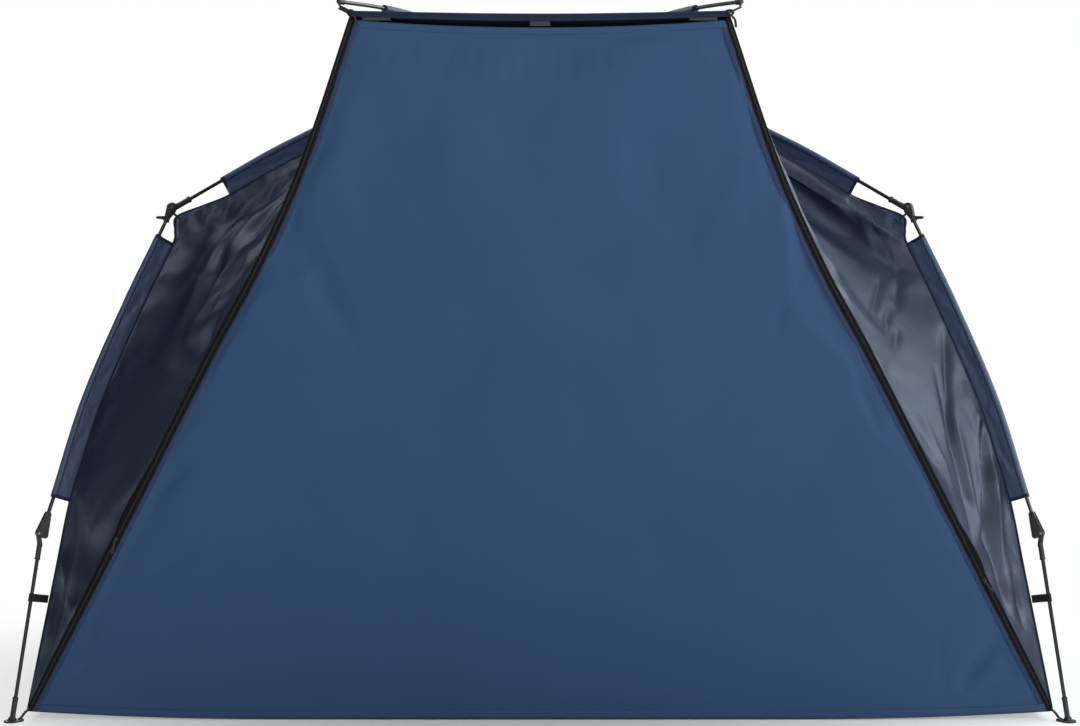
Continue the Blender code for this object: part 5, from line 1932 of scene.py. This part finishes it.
WING_CREASES = {
    Side.LEFT: creased(
        (-0.58, 1.5, -0.84, 1.04, 0.011, 0.02, 1.2), (-0.595, 1.44, -0.88, 0.92, 0.01, 0.015, 1.2),
        (-0.6, 1.47, -0.84, 1.0, 0.008, -0.011, 1.2), (-0.74, 1.15, -0.92, 0.82, 0.02, -0.02, 1.6),
        (-0.64, 1.44, -0.76, 1.24, 0.01, 0.012, 1.3), (-0.62, 1.4, -0.86, 1.26, 0.026, -0.016, 1.8),
        (-0.99, 1.23, -0.72, 1.17, 0.034, 0.009), (-0.98, 1.14, -0.74, 1.13, 0.026, -0.007),
        (-0.72, 1.14, -0.97, 0.88, 0.05, 0.014), (-0.84, 0.98, -1.02, 0.62, 0.03, -0.012),
        (-1.0, 0.92, -0.9, 0.8, 0.04, 0.006), (-1.22, 0.42, -1.14, 0.2, 0.014, 0.01, 1.5),
        (-1.16, 0.58, -1.2, 0.22, 0.012, 0.008, 1.4), (-1.2, 0.36, -1.24, 0.12, 0.01, -0.007, 1.4)),
    Side.RIGHT: creased(
        (0.6, 1.38, 0.73, 1.17, 0.006, 0.006, 1.3), (0.625, 1.34, 0.76, 1.13, 0.005, 0.0045, 1.3),
        (0.7, 1.2, 0.8, 0.98, 0.01, 0.006, 1.4), (0.9, 1.13, 0.855, 1.02, 0.008, -0.01, 1.4),
        (0.918, 1.06, 0.88, 0.97, 0.008, -0.009, 1.4), (0.95, 1.16, 0.925, 1.03, 0.012, -0.008, 1.5),
        (0.93, 0.99, 0.905, 0.93, 0.008, -0.007, 1.4), (0.86, 0.9, 0.99, 0.66, 0.026, -0.013, 1.8),
        (1.056, 1.0, 1.04, 0.66, 0.01, -0.012, 1.4), (1.02, 0.9, 1.08, 0.46, 0.011, -0.013, 1.4),
        (1.05, 0.8, 1.098, 0.48, 0.01, 0.011, 1.4), (0.96, 0.78, 1.03, 0.56, 0.012, 0.009, 1.5),
        (1.128, 0.78, 1.095, 0.44, 0.01, 0.017, 1.3), (1.14, 0.76, 1.135, 0.42, 0.02, -0.024, 1.8),
        (1.13, 0.52, 1.185, 0.26, 0.016, -0.02, 1.7), (1.152, 0.74, 1.176, 0.4, 0.01, 0.014, 1.3),
        (1.189, 0.66, 1.212, 0.5, 0.007, -0.008, 1.4), (1.2, 0.4, 1.226, 0.22, 0.008, -0.009, 1.4),
        (1.17, 0.28, 1.24, 0.09, 0.012, 0.01, 1.4)),
}
WING_FOLDS = {
    Side.LEFT: (
        Fold(((0.985, 0.03), (0.9, 0.055), (0.8, 0.085), (0.7, 0.13),
              (0.6, 0.19), (0.5, 0.25), (0.4, 0.3), (0.3, 0.34)),
             (0.004, 0.026, 0.034, 0.03, 0.02, 0.01, 0.0), (0.014, 0.026, 0.034, 0.034, 0.03, 0.03, 0.03)),
        Fold(((0.36, 0.985), (0.335, 0.91), (0.34, 0.754), (0.345, 0.62), (0.385, 0.44), (0.375, 0.35), (0.35, 0.25)),
             (0.004, 0.026, 0.04, 0.042, 0.033, 0.017, 0.0), (0.018, 0.022, 0.026, 0.028, 0.028, 0.028, 0.028), 1.4),
        Fold(((0.3, 0.985), (0.265, 0.84), (0.266, 0.696), (0.25, 0.59), (0.26, 0.47), (0.24, 0.38)),
             (0.004, 0.026, 0.04, 0.037, 0.018, 0.0), (0.016, 0.02, 0.024, 0.026, 0.026, 0.026), 1.4),
        Fold(((0.24, 0.97), (0.19, 0.905), (0.18, 0.77), (0.175, 0.66), (0.155, 0.58)),
             (0.0, 0.019, 0.029, 0.019, 0.0), (0.016, 0.018, 0.022, 0.024, 0.026), 1.4)),
    Side.RIGHT: (
        Fold(((0.985, 0.03), (0.9, 0.055), (0.8, 0.085), (0.7, 0.13), (0.6, 0.19), (0.5, 0.26), (0.42, 0.32)),
             (0.004, 0.032, 0.05, 0.052, 0.04, 0.022, 0.0), (0.014, 0.026, 0.034, 0.038, 0.04, 0.042, 0.042)),
        Fold(((0.015, 0.82), (0.1, 0.84), (0.2, 0.85), (0.3, 0.86), (0.4, 0.86), (0.5, 0.85), (0.6, 0.83)),
             (0.004, 0.024, 0.042, 0.052, 0.05, 0.034, 0.0), (0.014, 0.022, 0.03, 0.034, 0.036, 0.036, 0.036), 1.4),
        Fold(((0.05, 0.7), (0.15, 0.7), (0.28, 0.69), (0.42, 0.66), (0.55, 0.6)),
             (0.0, -0.02, -0.03, -0.024, 0.0), (0.03, 0.036, 0.042, 0.044, 0.05), 2.0)),
}
SIDE_CREASES = creased(
    (-0.6, 1.12, -0.2, 0.7, 0.03, 0.006), (0.6, 1.12, 0.24, 0.66, 0.03, 0.006),
    (-0.62, 1.02, -0.34, 0.48, 0.022, 0.005), (0.62, 1.0, 0.3, 0.52, 0.024, 0.005),
    (-0.74, 0.1, -0.46, 0.34, 0.018, 0.006, 1.6), (0.75, 0.1, 0.44, 0.3, 0.018, 0.006, 1.6),
    (-0.1, 1.6, -0.3, 1.3, 0.02, 0.004), (0.1, 1.6, 0.3, 1.28, 0.02, 0.004))
REAR_CREASES = creased(
    (0.94, 1.2, 0.52, 0.8, 0.034, 0.007), (0.97, 1.1, 0.66, 0.52, 0.026, 0.0055),
    (0.8, 1.32, 0.36, 1.1, 0.026, 0.005), (1.2, 0.1, 0.8, 0.34, 0.02, 0.006), (1.18, 0.2, 0.92, 0.54, 0.018, 0.005),
    (0.16, 1.6, 0.42, 1.3, 0.022, 0.004))
CANOPY_CREASES = creased(
    (-0.4, -1.02, -0.06, -0.4, 0.03, 0.004), (0.4, -1.02, 0.08, -0.42, 0.03, 0.004),
    (-0.1, -1.08, -0.03, -0.3, 0.04, 0.0035), (0.16, -1.06, 0.04, -0.3, 0.035, 0.003))


@dataclass
class Skin:
    """The tent's cloth: every panel with its hems, tapes and stitches."""

    canopy_sag: float = 0.007
    knee_patch: float = 0.055
    ground_room: float = 0.0004
    ground_slope: float = 0.0095
    corner_run: float = 0.13

    def build(self) -> None:
        """Make every panel with what is sewn to it, and the two zips."""
        self.wings = {side: self._wing_patch(side) for side in Side}
        self.door = DoorPatch()
        self._door()
        for side in Side:
            self._wing(side)
            self._side_wall(side)
        Zip(Side.LEFT, self.wings[Side.LEFT], self.door, (0.268, 0.365), 0.027, 0.262).build()
        Zip(Side.RIGHT, self.wings[Side.RIGHT], self.door, (0.205, 0.285), 0.021, 0.2).build()
        self._rear_wall()
        self._canopy()
        self._groundsheet()

    @staticmethod
    def _wing_patch(side: Side) -> Patch:
        """Return the surface between a front leg, an awning arm and the zip."""
        ridge, awning, knee = Plan.ridge(side.front), Plan.awning(side), Plan.KNEE_POINT
        left = Line(ridge[:knee - 1:-1], even=True)
        high = Line(ridge[knee::-1], even=True)
        arc = Plan.crown_arc(awning[0], ridge[0]).run(len(left.points) - len(awning) + 1)
        right = Line(awning[::-1] + arc[1:], even=True)
        return Patch(Plan.zip(side), high, left, right, 0.015)

    @staticmethod
    def _gore(first: Corner, second: Corner, hollow: float) -> Patch:
        """Return the surface of a wall from the groundsheet to the crown between two legs."""
        left, right = Plan.ridge(first)[::-1], Plan.ridge(second)[::-1]
        return Patch(Plan.foot_line(left[0], right[0]), Plan.crown_arc(left[-1], right[-1]),
                     Line(left, even=True), Line(right, even=True), hollow)

    def _gore_patches(self, patch: Patch, first: Corner, second: Corner, name: str) -> tuple[KneePatch, ...]:
        """Return the reinforcements beside the two knees of a wall."""
        ridge = Plan.ridge_points()
        length = measured(ridge)
        low, high = (measured(ridge[point:]) / length for point in (Plan.LEG_TOP, Plan.ROOF_END))
        wide = patch.size()[0]

        def beside(a: float, b: float) -> Pair:
            """Return a point of the reinforcement by the wall's first knee."""
            return self.knee_patch / wide * a * math.sin(math.pi * min(max(b, 0.02), 0.98)), low + (high - low) * b

        def opposite(a: float, b: float) -> Pair:
            """Return a point of the reinforcement by the wall's second knee."""
            u, v = beside(a, b)
            return 1 - u, v

        return (KneePatch(f"knee_patch_{first.label}_{name}", patch, beside),
                KneePatch(f"knee_patch_{second.label}_{name}", patch, opposite))

    @staticmethod
    def _hem(name: str, patch: Patch, edge: Edge, reach: float, body: str = "root",
             finish: Finish = WALL_CLOTH) -> bpy.types.Object:
        """Sew a folded hem along an edge, with two rows of stitches."""
        tape = Tape(Label(name, body, Slot.NAVY), patch, edge, finish, reach)
        piece = tape.build()
        tape.stitched(Label(name + "_stitches", body, Slot.NAVY), THREAD, (0.12, 0.86))
        return piece

    def _door(self) -> None:
        """Make the front door with its hems and the facings along its zips."""
        hems = [self._hem("door_foot_hem", self.door, Edge.LOW, 0.02, "front_door", DOOR_CLOTH),
                self._hem("door_top_hem", self.door, Edge.HIGH, 0.018, "front_door", DOOR_CLOTH)]
        for side, edge in ((Side.LEFT, Edge.LEFT), (Side.RIGHT, Edge.RIGHT)):
            # The facing's darker cloth is painted shade for the fold beside the sewn zip.
            facing = Tape(Label("door_zip_facing_" + side.label, "front_door", Slot.NAVY), self.door, edge,
                          FACING_CLOTH_PAINTED_SHADE, 0.0165, 0.003, 0.0007, count=160)
            hems.append(facing.build())
            facing.stitched(Label(f"door_zip_facing_{side.label}_stitches", "front_door", Slot.NAVY), THREAD, (0.88,))
        crinkles = (Crinkle(0.75, 0.16, 62, 0.011, 1.7), Crinkle(0.55, 0.13, 118, 0.009, 5.2),
                    Crinkle(0.16, 0.05, 35, 0.001, 9.1), Crinkle(0.12, 0.045, 150, 0.0009, 4.4))
        puckers = tuple(Crease((x, 0.02), (x + lean, 0.02 + tall), 0.013, -0.006, 1.5)
                        for x, lean, tall in ((-0.8, 0.03, 0.07), (-0.62, -0.02, 0.06), (-0.2, 0.03, 0.05),
                                              (0.34, -0.03, 0.06), (0.52, 0.03, 0.08), (0.66, -0.04, 0.07),
                                              (0.78, 0.03, 0.09), (0.9, -0.02, 0.08)))
        Panel(Label("door_cloth", "front_door", Slot.NAVY, ("front_door",)), self.door, DOOR_CLOTH, (92, 68),
              creases=DOOR_CREASES + puckers, crinkles=crinkles, spare=0.004, limit=0.01, flat_edge=0.02,
              calm_cells=3.0, headroom=self._above_ground,
              rests_on=("zip_tape_door_left", "zip_tape_door_right"), with_pieces=hems).build()

    def _above_ground(self, point: Vector) -> float:
        """Return how far the door's cloth may still stand out and clear the ground once it is folded down."""
        outward = (Plan.door_y(point.z) - point.y) / math.hypot(1.0, Plan.DOOR_LEAN)
        return self.ground_room + self.ground_slope * point.z - outward

    def _wing(self, side: Side) -> None:
        """Make one wing, whose cloth gathers in folds along the zip."""
        patch = self.wings[side]
        slant = 60 if side is Side.LEFT else 118
        crinkles = (Crinkle(0.6, 0.12, slant, 0.006, 2.0 + side.value),
                    Crinkle(0.2, 0.06, slant, 0.0018, 8.0 + side.value, True),
                    Crinkle(0.1, 0.06, slant + 40, 0.0012, 6.5 + side.value))
        name = "wing_" + side.label
        ridge, knee = Plan.ridge(side.front), Plan.KNEE_POINT
        roof_share = measured(ridge[Plan.ROOF_END:knee + 1]) / measured(ridge[:knee + 1])
        leg_share = 1 - measured(ridge[knee:Plan.LEG_TOP + 1]) / measured(ridge[knee:])
        patch_on = KneePatch(f"knee_patch_{side.front.label}_wing", patch,
                             lambda a, b: (roof_share * a * b, leg_share + (1 - leg_share) * b))
        Panel(Label(name + "_cloth", "root", Slot.COATED, (name,)), patch, WING_CLOTH, (92, 68),
              creases=WING_CREASES[side], crinkles=crinkles, folds=WING_FOLDS[side], spare=0.01, limit=0.016,
              edge_fade=0.016, patches=(patch_on,), rests_on=("zip_tape_wing_" + side.label,)).build()

    def _side_wall(self, side: Side) -> None:
        """Make one side wall with its foot hem."""
        first, second = side.front, side.rear
        patch = self._gore(first, second, 0.05)
        hem = self._hem(f"side_foot_hem_{side.label}", patch, Edge.LOW, 0.022)
        crinkles = (Crinkle(0.8, 0.16, 86, 0.007, 3.3 * side.value), Crinkle(0.2, 0.07, 70, 0.0016, 7.7, True),
                    Crinkle(0.1, 0.05, 20, 0.0008, 2.2))
        patches = self._gore_patches(patch, first, second, "side")
        name = "side_wall_" + side.label
        Panel(Label(name + "_cloth", "root", Slot.NAVY, (name,)), patch, WALL_CLOTH, (54, 50), Facing.SIDE,
              SIDE_CREASES, crinkles, spare=0.006, flat_edge=0.018, calm_cells=2.0, patches=patches,
              rests_on=(f"ridge_sleeve_{first.label}_piping",), with_pieces=[hem]).build()

    def _rear_wall(self) -> None:
        """Make the rear wall with its foot hem."""
        patch = self._gore(Corner.REAR_LEFT, Corner.REAR_RIGHT, 0.06)
        hem = self._hem("rear_foot_hem", patch, Edge.LOW, 0.022)
        crinkles = (Crinkle(0.9, 0.18, 84, 0.008, 4.1), Crinkle(0.24, 0.08, 100, 0.0016, 1.9, True),
                    Crinkle(0.1, 0.05, 20, 0.0008, 2.9))
        mirrored = tuple(Crease((-crease.start[0], crease.start[1]), (-crease.end[0], crease.end[1]), crease.width,
                                crease.height) for crease in REAR_CREASES)
        Panel(Label("rear_wall_cloth", "root", Slot.NAVY, ("rear_wall",)), patch, WALL_CLOTH, (66, 50), Facing.FRONT,
              mirrored + REAR_CREASES, crinkles, spare=0.006, flat_edge=0.018, calm_cells=2.0,
              patches=self._gore_patches(patch, Corner.REAR_LEFT, Corner.REAR_RIGHT, "rear"),
              rests_on=("ridge_sleeve_rear_left_piping",), with_pieces=[hem]).build()

    def _canopy(self) -> None:
        """Make the roof between the awning arms, its front hem and the hook tabs."""
        left, right = Plan.awning(Side.LEFT)[::-1], Plan.awning(Side.RIGHT)[::-1]
        front = []
        for share in spread(0.0, 1.0, 9):
            point = left[0].lerp(right[0], share)
            point.z -= self.canopy_sag * math.sin(math.pi * share)
            front.append(point)
        patch = Patch(Line(front, even=True), Plan.crown_arc(left[-1], right[-1]), Line(left, even=True),
                      Line(right, even=True), 0.01)
        hem = Maker()
        edge = patch.low

        def place(u: float, v: float) -> Vector:
            """Return the hanging hem's point from its top (v = 1) to its lower edge."""
            fall = 0.0085 + 0.0035 * math.sin(math.pi * u)
            bow = 0.0012 * noise.noise(Vector((u * 14, v * 2, 0.4)))
            return edge.at(u) + Vector((0.0, -0.0022 + bow, 0.0052 - (1 - v) * (fall + 0.0052)))

        hem.grid(90, 4, place, (0.95, 0.014))
        # The hanging hem takes the dark binding colour, darker than the canopy's cloth: painted shade for the shadow it
        # hangs in.
        band = thicken(publish(hem, Label("canopy_hem", "root", Slot.NAVY), PIPING_AND_SHADE_TAPE), 0.0016)
        rows = Maker()
        for v in (0.2, 0.84):
            rows.stitches([place(u, v) - SIDEWAYS * 0.0011 for u in spread(0.01, 0.99, 80)], -SIDEWAYS)
        publish(rows, Label("canopy_hem_stitches", "root", Slot.NAVY), THREAD)
        crinkles = (Crinkle(0.6, 0.12, 90, 0.0035, 6.0), Crinkle(0.2, 0.07, 60, 0.0012, 3.0, True))
        Panel(Label("canopy_cloth", "root", Slot.NAVY, ("canopy",)), patch, WALL_CLOTH, (44, 52), Facing.TOP,
              CANOPY_CREASES, crinkles, spare=0.004, limit=0.008, rests_on=("awning_sleeve_left_piping",),
              with_pieces=[band]).build()
        self._tabs(edge)

    @staticmethod
    def _tabs(edge: Line) -> None:
        """Make the grey hook tab at the middle of the canopy's hem and one behind each corner."""
        for name, share, half, rise, fall in (("middle", 0.5, 0.0235, -0.008, -0.0235),
                                              ("left", 0.067, 0.033, 0.002, -0.016),
                                              ("right", 0.933, 0.033, 0.002, -0.016)):
            maker = Maker()
            spot = edge.at(share)

            def place(u: float, v: float) -> Vector:
                """Return a point of the tab's face."""
                bow = 0.0006 * math.sin(math.pi * u)
                return spot + Vector((half * (2 * u - 1), 0.001 - bow, rise + (fall - rise) * (1 - v)))

            maker.grid(16, 6, place, (2 * half, abs(fall - rise)))
            thicken(publish(maker, Label("canopy_tab_" + name, "root", Slot.WEBBING), GREY_TAPE), 0.0012)

    def _groundsheet(self) -> None:
        """Make the groundsheet with its turned edges, the walls' foot seam and the joins at the door."""
        patch = SheetPatch()
        hems = [Tape(Label("groundsheet_hem_" + edge.value, "root", Slot.FLOOR), patch, edge, FLOOR_CLOTH, 0.02,
                     lift=0.0008, thick=0.0006, ripple=0.0).build() for edge in Edge]
        corners = [Plan.ridge(corner)[-1] for corner in (Side.LEFT.front, Side.LEFT.rear, Side.RIGHT.rear,
                                                         Side.RIGHT.front)]

        def near_corner(share: float) -> float:
            """Return 1 at either end of a wall's foot, falling to 0 away from it."""
            return smooth(1 - min(share, 1 - share) / self.corner_run)

        seam, count = Maker(), 120
        for start, end in zip(corners, corners[1:]):
            foot = Plan.foot_line(start, end).run(count, *ROW)
            edge = [point - UP * (0.0012 + 0.0026 * near_corner(share))
                    for point, share in zip(foot, spread(0.0, 1.0, count))]
            seam.tube(edge, 0.0019, 8, UP, lambda share: 1.0 + 1.1 * near_corner(share))
        hems.append(publish(seam, Label("groundsheet_seam", "root", Slot.FLOOR), PIPING_AND_SHADE_TAPE))
        crinkles = (Crinkle(0.5, 0.3, 30, 0.0008, 5.0), Crinkle(0.2, 0.12, 110, 0.0005, 2.0))
        Panel(Label("groundsheet_cloth", "root", Slot.FLOOR, ("groundsheet",)), patch, FLOOR_CLOTH, (64, 44),
              Facing.TOP, (), crinkles, frames=0, held="laid", rests_on=(), with_pieces=hems).build()
        for side in Side:
            self._foot_join(side)

    @staticmethod
    def _foot_join(side: Side, half: float = 0.00325, thick: float = 0.0004) -> None:
        """Make the strip that joins the door's foot to the groundsheet's raised corner."""
        places = [side.value * x for x in spread(0.8, 1.285, 70)]
        line = [Vector((x, -Plan.SHEET[1] - 0.0007, Plan.lift(x, -Plan.SHEET[1]) + 0.00445)) for x in places]
        steps = (-1.0, -0.6, -0.2, 0.2, 0.6, 1.0)
        outline = [(half * step, -thick) for step in steps] + [(half * step, thick) for step in reversed(steps)]
        strip = Maker()
        strip.sweep(line, outline, lambda index: UP)
        slope = Vector((-0.0465 * side.value, 0.0, 1.0)).normalized()
        low = Vector((0.95 * side.value, -Plan.SHEET[1], 0.0055))
        publish(strip, Label("door_foot_join_" + side.label, "front_door", Slot.FLOOR, (), (low, low + slope * 0.0048)),
                FLOOR_CLOTH)


# Studio

@dataclass(frozen=True)
class Softbox:
    """A large soft light."""

    name: str
    place: tuple[float, float, float]
    aim: tuple[float, float, float]
    size: Pair
    power: float
    colour: Colour = (1.0, 1.0, 1.0)

    def build(self) -> None:
        """Hang the light and turn it to what it lights."""
        data = bpy.data.lights.new(self.name, "AREA")
        data.shape = "RECTANGLE"
        data.size, data.size_y = self.size
        data.energy = self.power
        data.color = self.colour
        lamp = added(self.name, data)
        lamp.location = self.place
        lamp.visible_camera = False
        lamp.rotation_euler = (Vector(self.aim) - Vector(self.place)).to_track_quat("-Z", "Y").to_euler()


@dataclass(frozen=True)
class Studio:
    """The plain studio: pale floor, white surround, soft lights and the camera."""

    eye: tuple[float, float, float] = (0.0, -5.45, 0.904)
    focal: float = 60.9
    ambient: float = 0.06
    floor_radius: float = 30.0

    def build(self) -> None:
        """Make the surround, the floor, the lights and the camera."""
        bpy.context.scene.view_settings.view_transform = "Standard"
        self._surround()
        self._floor()
        for softbox in (
            Softbox("key_softbox", (4.9, -3.9, 2.6), (0.1, -0.8, 0.8), (2.0, 2.0), 190.0),
            Softbox("front_softbox", (0.3, -6.7, 3.0), (0.0, -0.8, 0.9), (1.8, 1.8), 118.0),
            Softbox("fill_softbox", (-3.4, -5.6, 2.6), (0.0, -0.8, 0.8), (2.6, 2.6), 9.0),
            Softbox("side_softbox", (4.4, 0.9, 3.9), (0.9, -0.5, 1.0), (6.0, 4.2), 270.0, (0.9, 0.95, 1.0)),
            Softbox("edge_softbox", (-3.4, 1.0, 5.0), (-0.7, -0.5, 1.3), (1.4, 1.4), 20.0),
            Softbox("top_softbox", (0.0, 0.6, 5.2), (0.0, 0.0, 0.0), (4.0, 4.0), 90.0),
            Softbox("rear_softbox", (-3.0, 5.5, 3.2), (0.0, 0.6, 0.8), (3.0, 3.0), 150.0),
        ):
            softbox.build()
        camera = added("camera", bpy.data.cameras.new("camera"))
        camera.data.lens = self.focal
        camera.data.sensor_width = 36.0
        camera.location = self.eye
        camera.rotation_euler = (math.radians(90), 0.0, 0.0)
        bpy.context.scene.camera = camera

    def _surround(self) -> None:
        """Light the scene evenly and weakly, with a plain white surround behind it."""
        world = bpy.data.worlds.new("surround")
        bpy.context.scene.world = world
        world.use_nodes = True
        tree = world.node_tree
        background = tree.nodes["Background"]
        path = tree.nodes.new("ShaderNodeLightPath")
        blend = tree.nodes.new("ShaderNodeMapRange")
        blend.inputs["To Min"].default_value = self.ambient
        blend.inputs["To Max"].default_value = 1.0
        tree.links.new(path.outputs["Is Camera Ray"], blend.inputs["Value"])
        background.inputs["Color"].default_value = (1.0, 1.0, 1.0, 1.0)
        tree.links.new(blend.outputs["Result"], background.inputs["Strength"])

    def _floor(self) -> None:
        """Make a floor that glows white by emission away from the tent: a white backdrop far off, painted light nearer
        in that lifts the floor's shading and the tent's shadows.
        """
        shader = Shader("pale_floor")
        place = shader.place()
        x, y = shader.axis(place, "X"), shader.axis(place, "Y")
        away = (x * x + y * y) ** 0.5
        fade = shader.node("ShaderNodeMapRange", {"interpolation_type": "SMOOTHSTEP"},
                           {"Value": away, "From Min": 0.6, "From Max": 2.4})
        grain = shader.grain(place, 30.0, 4.0)
        shader.set(Base_Color=shader.blend(grain, (0.86, 0.86, 0.86), (0.9, 0.9, 0.9)), Roughness=0.7)
        # Emission glow, painted light: mixed in from none at 0.6 m to full at 2.4 m from the middle.
        white = shader.node("ShaderNodeEmission", {}, {"Strength": 1.0})
        mixed = shader.node("ShaderNodeMixShader", {}, {0: fade, 1: Signal(shader, shader.base.outputs[0]), 2: white})
        shader.feed(shader.tree.nodes["Material Output"].inputs["Surface"], mixed)
        mesh = bpy.data.meshes.new("floor")
        bm = bmesh.new()
        bmesh.ops.create_circle(bm, cap_ends=True, segments=96, radius=self.floor_radius)
        bm.to_mesh(mesh)
        bm.free()
        mesh.materials.append(shader.material)
        floor = added("floor", mesh)


def main() -> None:
    """Build the tent and the studio round it."""
    logging.basicConfig(level=logging.INFO, format="%(message)s")
    Studio().build()
    Hub().build()
    for corner in Corner:
        Leg(corner).build()
        Sleeve("ridge_sleeve_" + corner.label, Plan.turn(corner), Plan.ridge_points(),
               [(Plan.ROOF, *Plan.ROOF_SPAN), (Plan.LEG, *Plan.LEG_SPAN)],
               seed=2.7 * corner.value[0] + 5.9 * corner.value[1]).build()
        CornerTie(corner).build()
    for side in Side:
        Awning(side).build()
    Skin().build()


if __name__ == "__main__":
    main()
